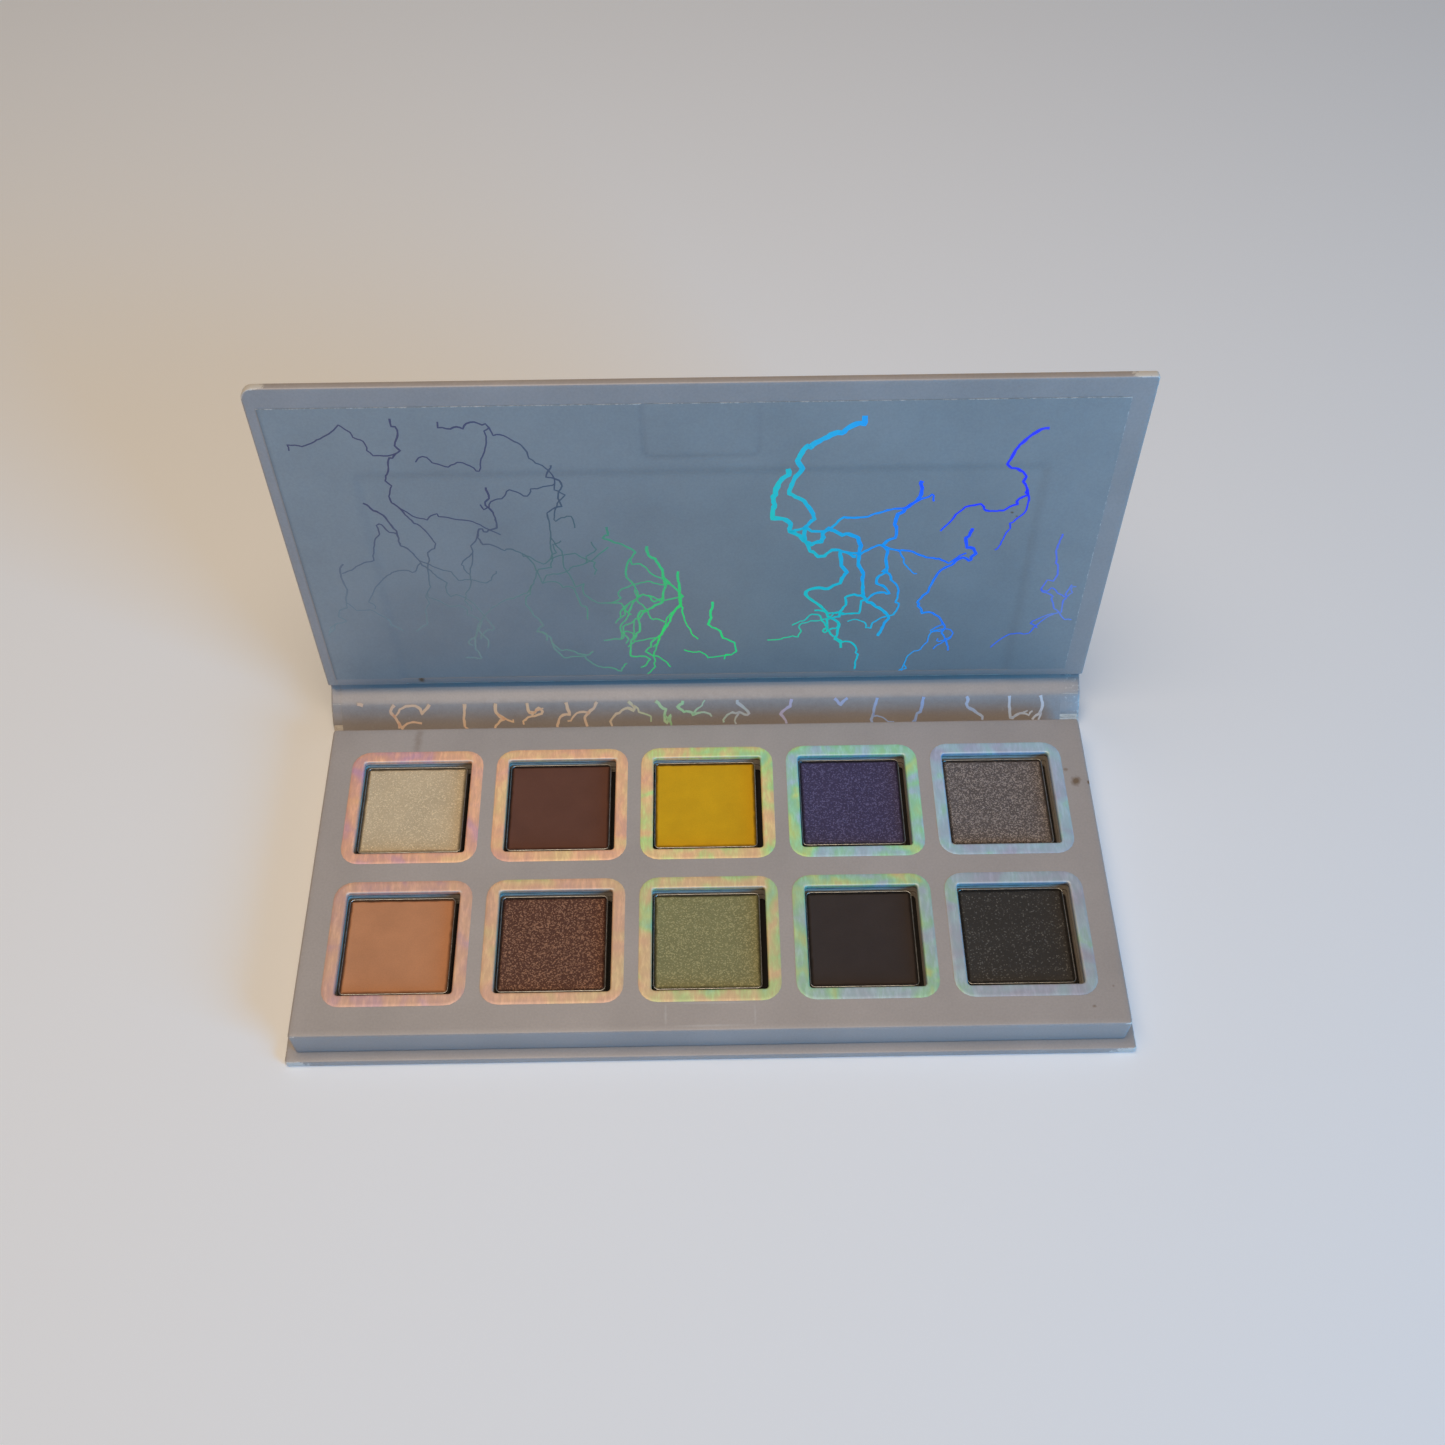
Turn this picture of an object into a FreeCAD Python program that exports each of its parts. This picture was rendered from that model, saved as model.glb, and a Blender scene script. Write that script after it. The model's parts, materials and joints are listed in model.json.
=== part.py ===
"""Eyeshadow palette: a book-style board case with a two-leaf paper hinge and a ten-pan tray.

Frame: millimetres, +Z up, +X along the long side, +Y towards the spine.
Origin: the centre of the case's underside.
The case is drawn as it stands open: the spine leans back from the base, and the lid stands up from the spine.
"""

import FreeCAD
import Part
import math
import os

V = FreeCAD.Vector

# ---------------------------------------------------------------- driving dimensions
paper = 0.15              # cover paper, liner paper and glue films
case_width = 192.5        # X, over the cover paper
leaf_depth = 90.0         # base and lid, front to back, over the cover paper
base_thickness = 2.0      # cover paper, board and turn-in
leaf_thickness = 2.3      # spine and lid: cover paper, board, turn-in and liner
crease_gap = 2.8          # bare paper between two boards, so that they can fold
spine_height = 12.8       # from the lower fold line to the upper fold line
spine_end_gap = 0.5       # spine pieces stop this far short of both fold lines
spine_board_low = 1.0     # spine board, measured from the lower fold line
spine_board_high = 8.6    # above it the liner slopes back down into the upper crease
side_turn_in = 20.0       # cover paper folded over the side edges
front_turn_in = 23.0      # cover paper folded over the free edge of the lid
liner_left_inset = 2.6    # liner's distance from the case's side edges
liner_right_inset = 5.0
edge_round = 0.45         # board edges crushed round by the paper pulled over them
corner_round = 0.6        # board corners, seen square on
worn_corner = 2.6         # the lid's free corner on the left, rubbed round
liner_front_inset = 5.0   # liner's distance from the lid's free edge

tray_width = 188.0
tray_depth = 84.5
tray_height = 8.0
tray_front_ledge = 2.5    # base showing in front of the tray
tray_turn_under = 10.0    # cover paper folded under the tray
tray_glue_inset = 4.0     # glue film's distance from the base's rear edge

pan_columns = 5
pan_pitch_x = 35.8
pan_pitch_y = 37.5
window = 26.5             # clear opening, inside the foil
foil = 0.05               # stamped foil
foil_frame_width = 32.5   # outside of the foil band
foil_corner = 4.5
lip_depth = 0.9           # cover paper and foil turned down into each window
window_corner = 0.8

pan = 25.0                # square tin pan
pan_rest_x = -0.5         # the pans as glued: all a little left of the middle of their windows
pan_rest_y = {            # and each at its own place from front to rear
    "rear_1": 0.6, "rear_2": 0.7, "rear_3": 0.75, "rear_4": 0.9, "rear_5": 0.35,
    "front_1": 0.4, "front_2": 0.4, "front_3": 0.45, "front_4": 0.4, "front_5": 0.55,
}
pan_corner = 1.2
pan_wall = 0.25
pan_recess = 2.2          # pan rim below the tray's top
powder_below_rim = 0.1
powder_edge_break = 0.5   # the cake's edge falls away to the tin's wall
glue_dot_radius = 4.0
glue_dot_height = 0.2

floor_board = 1.8         # the tray's stack of boards, from the bottom up
spacer_board = 2.2
top_board = 1.5

lid_magnet_size = (25.0, 15.0, 1.5)
lid_magnet_edge = 4.0     # from the lid's free edge
tray_plate_size = (20.0, 6.0, 1.5)
tray_plate_edge = 1.8     # from the tray's front
pocket_play = 0.2

spine_lean = 39.0         # degrees back from upright, as the case stands open
lid_lean = 5.0            # degrees back from upright

# ---------------------------------------------------------------- worked-out places
half_case = case_width / 2
front_y = -leaf_depth / 2
rear_y = leaf_depth / 2
lower_fold_y = rear_y + crease_gap

liner_x = (liner_left_inset - half_case, half_case - liner_right_inset)

tray_front_y = front_y + tray_front_ledge
tray_rear_y = tray_front_y + tray_depth
tray_mid_y = (tray_front_y + tray_rear_y) / 2
tray_top_z = base_thickness + tray_height

board_window = window + 2 * (foil + paper)
rim_z = tray_top_z - pan_recess
floor_top_z = base_thickness + paper + floor_board
pan_bottom_z = floor_top_z + glue_dot_height

ROWS = {"rear": tray_mid_y + pan_pitch_y / 2, "front": tray_mid_y - pan_pitch_y / 2}


def cells():
    """The name and centre of each window, row by row and left to right."""
    for row, y in ROWS.items():
        for column in range(pan_columns):
            yield f"{row}_{column + 1}", (column - (pan_columns - 1) / 2) * pan_pitch_x, y


def pan_places():
    """The name and centre of each pan, as it lies in its window."""
    for name, x, y in cells():
        yield name, x + pan_rest_x, y + pan_rest_y[name]


# ---------------------------------------------------------------- shape helpers
def box(x, y, z):
    """A box between the pairs of limits x, y and z."""
    return Part.makeBox(x[1] - x[0], y[1] - y[0], z[1] - z[0], V(x[0], y[0], z[0]))


def at(value, *limits):
    return any(abs(value - limit) < 1e-6 for limit in limits)


def soft_block(x, y, z, grow=0.0, through="z", open_side=None, worn_x=None):
    """A block with rounded edges: first the corners seen along through, then the rims of its two faces.
    The edges on open_side, such as ("y", 45.0), stay square. Corners at worn_x are rubbed rounder, and
    grow is the paper's thickness outside the board."""
    block = box(x, y, z)
    limits = {"x": x, "y": y, "z": z}

    def is_open(edge):
        if open_side is None:
            return False
        axis, value = open_side
        low, high = (getattr(edge.BoundBox, axis.upper() + end) for end in ("Min", "Max"))
        return at(low, value) and at(high, value)

    def along(edge):
        size = edge.BoundBox
        return max("xyz", key=lambda axis: getattr(size, axis.upper() + "Length"))

    for edge in [e for e in block.Edges if along(e) == through and not is_open(e)]:
        centre = edge.CenterOfMass
        worn = worn_x is not None and at(centre.x, worn_x)
        near = min(block.Edges, key=lambda e: e.CenterOfMass.distanceToPoint(centre))
        block = block.makeFillet((worn_corner if worn else corner_round) + grow, [near])
    faces = limits[through]
    through_min, through_max = through.upper() + "Min", through.upper() + "Max"
    rims = []
    for edge in block.Edges:
        low, high = getattr(edge.BoundBox, through_min), getattr(edge.BoundBox, through_max)
        if at(low, *faces) and at(high, low) and not is_open(edge):
            rims.append(edge)
    return block.makeFillet(edge_round + grow, rims)


def rounded_square(cx, cy, side, corner, z):
    """A square prism on (cx, cy) between the limits z, with rounded upright edges."""
    h = side / 2
    block = box((cx - h, cx + h), (cy - h, cy + h), z)
    upright = [e for e in block.Edges if abs(e.tangentAt(e.FirstParameter).z) > 0.5]
    return block.makeFillet(corner, upright)


def leaf_box(across, along, through):
    """A box in a leaf's own frame: across it, along it from its fold line, and through its thickness from the
    outer face, with the leaf upright and its outer face towards +Y."""
    return box(across, (-through[1], -through[0]), along)


def leaf_window(high):
    """What the side turn-ins leave open on a leaf's inner face, up to high."""
    face = leaf_thickness - 2 * paper
    return leaf_box(middle(half_case - side_turn_in), (-1, high), (face, leaf_thickness + 1))


def middle(half):
    return (-half, half)


def liner_on_leaf(along, turn_in_high):
    """Liner paper with its paste: full depth between the turn-ins, and paper only over them."""
    board_face = leaf_thickness - 2 * paper
    sheet = leaf_box(liner_x, along, (leaf_thickness - paper, leaf_thickness))
    between = middle(half_case - side_turn_in)
    pasted = leaf_box(between, (along[0], turn_in_high), (board_face, leaf_thickness))
    return sheet.fuse(pasted).removeSplitter()


def placed(shape, lean, fold_y, fold_z):
    """A leaf's shape leant back about its fold line, which is put at (fold_y, fold_z)."""
    shape = shape.copy()
    shape.rotate(V(0, 0, 0), V(1, 0, 0), -lean)
    shape.translate(V(0, fold_y, fold_z))
    return shape


def on_spine(shape):
    return placed(shape, spine_lean, lower_fold_y, 0)


def on_lid(shape):
    lean = math.radians(spine_lean)
    fold_y = lower_fold_y + spine_height * math.sin(lean)
    return placed(shape, lid_lean, fold_y, spine_height * math.cos(lean))


# ---------------------------------------------------------------- base of the case
def base_board():
    z = (paper, base_thickness - paper)
    return soft_block(middle(half_case - paper), (front_y + paper, rear_y), z, open_side=("y", rear_y))


def base_wrap():
    """Cover paper under the base, up its front and sides, and turned in over its top."""
    outside = middle(half_case), (front_y, rear_y), (0, base_thickness)
    block = soft_block(*outside, paper, open_side=("y", rear_y))
    open_x = middle(half_case - side_turn_in)
    opening = box(open_x, (front_y + side_turn_in, rear_y + 1), (base_thickness - paper, base_thickness + 1))
    return block.cut(base_board()).cut(opening)


def tray_glue():
    """Glue film between the tray and the base board, inside the turn-ins."""
    h = half_case - side_turn_in
    y = (front_y + side_turn_in, rear_y - tray_glue_inset)
    return box(middle(h), y, (base_thickness - paper, base_thickness))


def base_liner():
    """The liner's tail on the base's rear edge, behind the tray."""
    return box(liner_x, (tray_rear_y, rear_y), (base_thickness, base_thickness + paper))


def base_crease_paper():
    return box((-half_case, half_case), (rear_y, lower_fold_y), (0, paper))


# ---------------------------------------------------------------- tray
def tray_stack():
    """The block that the tray's boards make together, edges rounded."""
    y = (tray_front_y + paper, tray_rear_y - paper)
    return soft_block(middle(tray_width / 2 - paper), y, (base_thickness + paper, tray_top_z - paper))


def tray_layer(z):
    return tray_stack().common(box(middle(tray_width), middle(tray_depth), z))


def tray_board(z):
    """A die-cut board of the stack, with its ten windows."""
    board = tray_layer(z)
    for _, x, y in cells():
        board = board.cut(rounded_square(x, y, board_window, window_corner, (z[0] - 1, z[1] + 1)))
    return board


def tray_floor_board():
    return tray_layer((base_thickness + paper, floor_top_z))


def tray_plate(play=0.0):
    """The steel closure plate in the tray's front rail, or its pocket when play is given."""
    hx = tray_plate_size[0] / 2 + play
    y0 = tray_front_y + tray_plate_edge
    top = tray_top_z - paper
    return box((-hx, hx), (y0 - play, y0 + tray_plate_size[1] + play), (top - tray_plate_size[2], top))


def tray_wrap():
    """Cover paper over the tray: top, walls, a turn-under below, and a lip down into each window."""
    outside = middle(tray_width / 2), (tray_front_y, tray_rear_y), (base_thickness, tray_top_z)
    shell = soft_block(*outside, paper)
    shell = shell.cut(tray_stack())
    open_y = (tray_front_y + tray_turn_under, tray_rear_y - tray_turn_under)
    below = (base_thickness - 1, base_thickness + paper)
    shell = shell.cut(box(middle(tray_width / 2 - tray_turn_under), open_y, below))
    for _, x, cy in cells():
        lip = rounded_square(x, cy, board_window, window_corner, (tray_top_z - lip_depth, tray_top_z))
        shell = shell.fuse(lip)
    for _, x, cy in cells():
        clear = window + 2 * foil
        shell = shell.cut(rounded_square(x, cy, clear, window_corner, (tray_top_z - 2, tray_top_z + 1)))
    return shell.removeSplitter()


def foil_frame(x, y):
    """Stamped foil: a flat band round the window, and its inner edge turned down with the paper."""
    top = tray_top_z + foil
    band = rounded_square(x, y, foil_frame_width, foil_corner, (tray_top_z, top))
    lip = rounded_square(x, y, window + 2 * foil, window_corner, (tray_top_z - lip_depth, top))
    opening = rounded_square(x, y, window, window_corner, (tray_top_z - 2, top + 1))
    return band.fuse(lip).cut(opening).removeSplitter()


def pan_tin(x, y):
    body = rounded_square(x, y, pan, pan_corner, (pan_bottom_z, rim_z))
    inside_z = (pan_bottom_z + pan_wall, rim_z + 1)
    hollow = rounded_square(x, y, pan - 2 * pan_wall, pan_corner - pan_wall, inside_z)
    return body.cut(hollow)


def powder(x, y):
    """Pressed powder, filling the pan to just below its rim, with its top edge sloping off."""
    z = (pan_bottom_z + pan_wall, rim_z - powder_below_rim)
    cake = rounded_square(x, y, pan - 2 * pan_wall, pan_corner - pan_wall, z)
    top = [e for e in cake.Edges if e.BoundBox.ZMin > z[1] - 0.01]
    return cake.makeChamfer(powder_edge_break, top)


def pan_glue_dots():
    """A dot of glue under each pan."""
    middles = [V(x, y, floor_top_z) for _, x, y in pan_places()]
    return Part.makeCompound([Part.makeCylinder(glue_dot_radius, glue_dot_height, m) for m in middles])


# ---------------------------------------------------------------- spine
spine_span = (spine_end_gap, spine_height - spine_end_gap)
spine_board_span = (spine_board_low, spine_board_high)


def spine_block(half_x, through, grow=0.0):
    """A block as deep as the spine board, rounded at its two ends only."""
    block = leaf_box(middle(half_x), spine_board_span, through)
    ends = [e for e in block.Edges if abs(e.tangentAt(e.FirstParameter).z) > 0.5]
    return block.makeFillet(edge_round + grow, ends)


def flat_spine_board():
    return spine_block(half_case - paper, (paper, leaf_thickness - 2 * paper))


def spine_board():
    return on_spine(flat_spine_board())


def spine_wrap():
    """Cover paper from fold to fold on the outside, and round the ends of the spine board."""
    ends = spine_block(half_case, (0, leaf_thickness - paper), paper).cut(flat_spine_board())
    outside = leaf_box(middle(half_case - edge_round - paper), spine_span, (0, paper))
    return on_spine(ends.cut(leaf_window(spine_height)).fuse(outside).removeSplitter())


def spine_liner():
    """Liner on the spine board, and its slope from the board's upper edge down into the crease."""
    on_board = liner_on_leaf(spine_board_span, spine_board_high)
    inner, low, high = leaf_thickness, spine_board_high, spine_span[1]
    slope = [(inner, low), (3 * paper, high), (2 * paper, high), (inner - paper, low)]
    outline = Part.makePolygon([V(liner_x[0], -through, along) for through, along in slope + slope[:1]])
    sloping = Part.Face(outline).extrude(V(liner_x[1] - liner_x[0], 0, 0))
    return on_spine(on_board.fuse(sloping).removeSplitter())


# ---------------------------------------------------------------- lid
lid_low = crease_gap
lid_high = crease_gap + leaf_depth


def lid_block(half_x, along, through, grow=0.0):
    """A block as large as the lid, rounded everywhere but at its fold, and more at its worn corner."""
    y = (-through[1], -through[0])
    return soft_block(middle(half_x), y, along, grow, "y", ("z", along[0]), -half_x)


def lid_crease_paper():
    return on_lid(leaf_box(middle(half_case), (0, lid_low), (0, paper)))


def lid_magnet(play=0.0):
    """The magnet under the liner at the lid's free edge, or its pocket when play is given."""
    high = lid_high - lid_magnet_edge
    along = (high - lid_magnet_size[1] - play, high + play)
    inner = leaf_thickness - 2 * paper
    return leaf_box(middle(lid_magnet_size[0] / 2 + play), along, (inner - lid_magnet_size[2], inner))


def flat_lid_board():
    return lid_block(half_case - paper, (lid_low, lid_high - paper), (paper, leaf_thickness - 2 * paper))


def lid_board():
    return on_lid(flat_lid_board().cut(lid_magnet(pocket_play)))


def lid_wrap():
    """Cover paper on the lid's outer face and round its three free edges, less the opening inside."""
    block = lid_block(half_case, (lid_low, lid_high), (0, leaf_thickness - paper), paper)
    return on_lid(block.cut(flat_lid_board()).cut(leaf_window(lid_high - front_turn_in)))


def lid_liner():
    return on_lid(liner_on_leaf((lid_low, lid_high - liner_front_inset), lid_high - front_turn_in))


# ---------------------------------------------------------------- all the pieces
def all_parts():
    parts = {
        "base_board": base_board(),
        "base_wrap": base_wrap(),
        "base_crease_paper": base_crease_paper(),
        "base_liner": base_liner(),
        "tray_glue": tray_glue(),
        "tray_floor_board": tray_floor_board(),
    }
    z = floor_top_z
    for name, thickness in (("lower", spacer_board), ("upper", spacer_board), ("top", top_board)):
        board = tray_board((z, z + thickness))
        if name == "top":
            board = board.cut(tray_plate(pocket_play))
        parts[f"tray_window_board_{name}"] = board
        z += thickness
    parts["tray_wrap"] = tray_wrap()
    parts["tray_steel_plate"] = tray_plate()
    parts["pan_glue_dots"] = pan_glue_dots()
    for name, x, y in cells():
        parts[f"foil_frame_{name}"] = foil_frame(x, y)
    for name, x, y in pan_places():
        parts[f"pan_{name}"] = pan_tin(x, y)
        parts[f"powder_{name}"] = powder(x, y)
    parts["spine_board"] = spine_board()
    parts["spine_wrap"] = spine_wrap()
    parts["spine_liner"] = spine_liner()
    parts["lid_board"] = lid_board()
    parts["lid_wrap"] = lid_wrap()
    parts["lid_crease_paper"] = lid_crease_paper()
    parts["lid_liner"] = lid_liner()
    parts["lid_magnet"] = on_lid(lid_magnet())
    return parts


os.makedirs("parts", exist_ok=True)
for node, shape in all_parts().items():
    if not shape.isValid():
        raise ValueError(f"{node} is not a valid shape")
    shape.exportStep(f"parts/{node}.step")
    b = shape.optimalBoundingBox()
    print(f"{node:26s} {shape.Volume:10.1f} mm3  solids {len(shape.Solids)}"
          f"  X {b.XMin:.2f}..{b.XMax:.2f}  Y {b.YMin:.2f}..{b.YMax:.2f}  Z {b.ZMin:.2f}..{b.ZMax:.2f}")
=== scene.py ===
"""Looks of a book-style eyeshadow palette: its papers, stamped foils, tin pans and pressed powders.

Lengths in this file are millimetres; piece() turns them to metres. Flat coordinates of a leaf (the spine or
the lid) are x across it, s along it from its fold line, and t through it from its outer face inwards.
"""

import json
import math

import bmesh
import bpy
import numpy as np
from bpy.props import FloatProperty, FloatVectorProperty, IntProperty, PointerProperty
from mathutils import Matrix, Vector


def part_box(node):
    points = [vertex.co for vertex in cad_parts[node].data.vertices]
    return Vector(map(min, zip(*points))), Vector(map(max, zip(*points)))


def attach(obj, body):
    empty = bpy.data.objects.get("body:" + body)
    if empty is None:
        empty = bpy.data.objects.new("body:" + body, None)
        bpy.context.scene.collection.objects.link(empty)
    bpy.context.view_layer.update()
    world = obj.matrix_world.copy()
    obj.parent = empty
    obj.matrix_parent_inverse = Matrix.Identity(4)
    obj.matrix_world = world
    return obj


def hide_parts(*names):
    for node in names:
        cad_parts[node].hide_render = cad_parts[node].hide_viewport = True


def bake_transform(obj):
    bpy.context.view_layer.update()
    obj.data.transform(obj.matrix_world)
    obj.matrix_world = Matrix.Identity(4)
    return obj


bl_info = {
    "name": "Eyeshadow Palette",
    "version": (1, 0, 0),
    "blender": (4, 5, 0),
    "location": "View3D > Sidebar > Palette",
    "description": "Builds the papers, foils, pans and powders of a ten-pan board palette on its packed frame",
    "category": "Add Mesh",
}

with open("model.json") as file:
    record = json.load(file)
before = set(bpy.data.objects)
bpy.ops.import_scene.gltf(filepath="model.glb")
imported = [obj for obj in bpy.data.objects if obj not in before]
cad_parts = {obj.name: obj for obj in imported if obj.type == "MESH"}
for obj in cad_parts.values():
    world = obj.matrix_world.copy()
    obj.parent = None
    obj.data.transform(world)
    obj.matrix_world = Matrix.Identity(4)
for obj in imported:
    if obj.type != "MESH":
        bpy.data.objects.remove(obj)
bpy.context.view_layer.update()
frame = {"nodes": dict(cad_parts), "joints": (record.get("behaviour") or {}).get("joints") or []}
MM = 0.001
TURN_IN_STEP = 0.15      # a turned-in paper and its paste
FACE_START = 2.2         # from a leaf board's lower edge to where its face is flat
QUARTER = np.linspace(0, math.pi / 2, 6)


# ---------------------------------------------------------------- places read from the frame
def box_mm(node):
    low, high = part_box(node)
    return np.array(low) / MM, np.array(high) / MM


def vertices_mm(node):
    return np.array([v.co for v in frame["nodes"][node].data.vertices]) / MM


JOINTS = {joint["name"]: joint for joint in frame["joints"]}
SPINE_LEAN = -JOINTS["spine_fold"]["range_deg"][0]
LID_LEAN = SPINE_LEAN - JOINTS["lid_fold"]["range_deg"][1]
LOWER_FOLD = np.array(JOINTS["spine_fold"]["pos_m"][1:]) / MM
UPPER_FOLD = np.array(JOINTS["lid_fold"]["pos_m"][1:]) / MM


def leaf(lean, fold):
    """How flat coordinates (x, s, t) are put in the frame: s runs up a line leant back by lean degrees from
    the fold line, and t runs square to it, towards the inside of the case."""
    a = math.radians(lean)
    turn = np.array([[1, 0, 0], [0, math.sin(a), -math.cos(a)], [0, math.cos(a), math.sin(a)]])
    offset = np.array([0, *fold])

    def place(points):
        return points @ turn.T + offset

    def flat_box(node):
        flat = (vertices_mm(node) - offset) @ turn
        return flat.min(0), flat.max(0)

    return place, flat_box


on_spine, spine_box = leaf(SPINE_LEAN, LOWER_FOLD)
on_lid, lid_box = leaf(LID_LEAN, UPPER_FOLD)

CASE_LOW, CASE_HIGH = box_mm("base_wrap")
HALF_CASE = CASE_HIGH[0]
BASE_THICK = CASE_HIGH[2]
LINER_LOW, LINER_HIGH = lid_box("lid_liner")
LID_LOW_S = lid_box("lid_wrap")[0][1]
LID_HIGH_S = lid_box("lid_wrap")[1][1]
LEAF_THICK = LINER_HIGH[2]
MAGNET = lid_box("lid_magnet")
SPINE_BOARD = spine_box("spine_board")
SPINE_SPAN = spine_box("spine_wrap")
TRAY_LOW, TRAY_HIGH = box_mm("tray_wrap")
PAN_NAMES = [f"{row}_{n}" for row in ("rear", "front") for n in range(1, 6)]
POWDERS = dict(zip(PAN_NAMES, ("cream", "chocolate", "mustard", "indigo", "taupe",
                               "caramel", "bronze", "olive", "umber", "charcoal")))


# ---------------------------------------------------------------- sizes and colours a user would change
def linear(code):
    """An sRGB hex colour as linear red, green, blue and alpha."""
    srgb = np.array([int(code[k:k + 2], 16) for k in (0, 2, 4)]) / 255
    value = np.where(srgb <= 0.04045, srgb / 12.92, ((srgb + 0.055) / 1.055) ** 2.4)
    return (*value.tolist(), 1.0)


def colour(name, code):
    return FloatVectorProperty(name=name, description=f"Colour of the {name.lower()}", subtype="COLOR",
                               size=4, min=0, max=1, default=linear(code))


def length(name, about, default):
    return FloatProperty(name=name, description=f"{about}, in millimetres", default=default, min=0.0)


class PaletteSizes(bpy.types.PropertyGroup):
    paper: length("Paper", "Thickness of the cover and liner papers as drawn", 0.1)
    edge_soft: length("Edge rounding", "How far in from a board's edge the paper starts to turn down", 0.5)
    corner: length("Corner", "Radius of a covered board's corner, seen square on", 0.75)
    worn_corner: length("Worn corner", "Radius of the lid's free corner on the left", 2.75)
    side_turn_in: length("Side turn-in", "Cover paper folded over the side edges", 20.0)
    end_turn_in: length("End turn-in", "Cover paper folded over a free edge", 23.0)
    window_roll: length("Window roll", "Radius of the paper where it turns down into a window", 0.35)
    foil_corner: length("Foil corner", "Outer corner radius of a foil frame", 4.5)
    window_corner: length("Window corner", "Corner radius of a window", 0.8)
    pan_corner: length("Pan corner", "Corner radius of a tin pan", 1.2)
    wave: length("Waviness", "How far the papers dip between their edges", 0.04)
    seed: IntProperty(name="Seed", description="Seed of everything random", default=7)


class PaletteColours(bpy.types.PropertyGroup):
    cover: colour("Cover paper", "B5ABA6")
    liner: colour("Liner paper", "B5ABA6")
    # Painted shade: the same liner paper as on the spine, given a greyer, darker tone inside the lid for its
    # cooler, dimmer light.
    lid_liner: colour("Liner paper inside the lid", "A5A6A5")
    board: colour("Greyboard", "D2C6B8")
    glue: colour("Dried glue", "7A5A34")
    cream: colour("Cream powder", "D9C4A2")
    chocolate: colour("Chocolate powder", "6B4436")
    mustard: colour("Mustard powder", "E0AC12")
    indigo: colour("Indigo powder", "433A5C")
    taupe: colour("Taupe powder", "665C59")
    caramel: colour("Caramel powder", "CE8F66")
    bronze: colour("Bronze powder", "5E382B")
    olive: colour("Olive powder", "8E8A5E")
    umber: colour("Umber powder", "3F3430")
    charcoal: colour("Charcoal powder", "38332F")


# ---------------------------------------------------------------- shape helpers
def smooth(value, low, high):
    """0 below low, 1 above high, and a smoothstep between them."""
    share = np.clip((value - low) / (high - low), 0, 1)
    return share * share * (3 - 2 * share)


def lattice(x, y, size, seed):
    """Smooth random height from -1 to 1: random values on a square lattice of that size, blended by
    smoothstep between the four round each point."""
    count = 97
    table = np.random.default_rng(seed).uniform(-1, 1, (count, count))
    u, v = np.asarray(x) / size + count * 40.5, np.asarray(y) / size + count * 40.5
    i, j = np.floor(u).astype(int), np.floor(v).astype(int)
    a, b = smooth(u - i, 0, 1), smooth(v - j, 0, 1)
    i, j, i1, j1 = i % count, j % count, (i + 1) % count, (j + 1) % count
    low = table[i, j] * (1 - a) + table[i1, j] * a
    high = table[i, j1] * (1 - a) + table[i1, j1] * a
    return low * (1 - b) + high * b


def ring(x, y, radii, share_x, share_y, open_low=False, arc=5):
    """Counter-clockwise outline of the rectangle x by y with round corners, from the foot of its right side.
    A straight part has a point at each share of its length and a corner has arc steps, so outlines of any
    size match point for point. radii are those of the top right, top left, low left and low right corners.
    open_low leaves out the low side and its two corners."""
    (x0, x1), (y0, y1) = x, y
    a, b, c, d = np.broadcast_to(radii, 4)
    turn = np.linspace(0, math.pi / 2, arc + 1)[1:-1]

    def side(start, end, shares):
        start, end = np.array(start, float), np.array(end, float)
        return start + shares[:, None] * (end - start)

    def corner(cx, cy, radius, quarter):
        angle = turn + quarter * math.pi / 2
        return np.stack([cx + radius * np.cos(angle), cy + radius * np.sin(angle)], -1)

    parts = [side((x1, y0 + d), (x1, y1 - a), share_y), corner(x1 - a, y1 - a, a, 0),
             side((x1 - a, y1), (x0 + b, y1), share_x), corner(x0 + b, y1 - b, b, 1),
             side((x0, y1 - b), (x0, y0 + c), share_y)]
    if not open_low:
        parts += [corner(x0 + c, y0 + c, c, 2), side((x0 + c, y0), (x1 - d, y0), share_x),
                  corner(x1 - d, y0 + d, d, 3)]
    return np.concatenate(parts)


def square(middle, half, radius, share):
    """The outline of a square, or of a rectangle if half is a pair, round its middle."""
    (x0, y0), (x1, y1) = middle[:2] - half, middle[:2] + half
    return ring((x0, x1), (y0, y1), radius, share, share)


def raised(outline, height):
    """A flat outline or grid of (x, y) with its heights added."""
    height = np.broadcast_to(height, outline.shape[:-1])
    return np.concatenate([outline, height[..., None]], -1)


def edge_profile(steps=8):
    """The section of paper pulled round a board's edge, from the outer face to the inner: a superellipse,
    as the share of the rounding left to the outline, and the share of the thickness."""
    angle = np.linspace(-math.pi / 2, math.pi / 2, steps + 1)
    squareness = 0.55
    out = np.abs(np.cos(angle)) ** squareness
    out[[0, -1]] = 0
    through = (1 + np.sign(np.sin(angle)) * np.abs(np.sin(angle)) ** squareness) / 2
    return list(zip(1 - out, through))


def curve(points, steps):
    """A Catmull-Rom curve through the points, steps to each span."""
    p = np.array(points, float)
    p = np.concatenate([2 * p[:1] - p[1:2], p, 2 * p[-1:] - p[-2:-1]])
    t = np.linspace(0, 1, steps, endpoint=False)[None, :, None]
    a, b, c, d = (p[k:len(p) - 3 + k][:, None] for k in range(4))
    spans = 0.5 * (2 * b + (c - a) * t + (2 * a - 5 * b + 4 * c - d) * t ** 2
                   + (3 * b - a - 3 * c + d) * t ** 3)
    return np.concatenate([spans.reshape(-1, p.shape[1]), p[-2:-1]])


def shares(count):
    return np.linspace(0, 1, count + 1)


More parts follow.
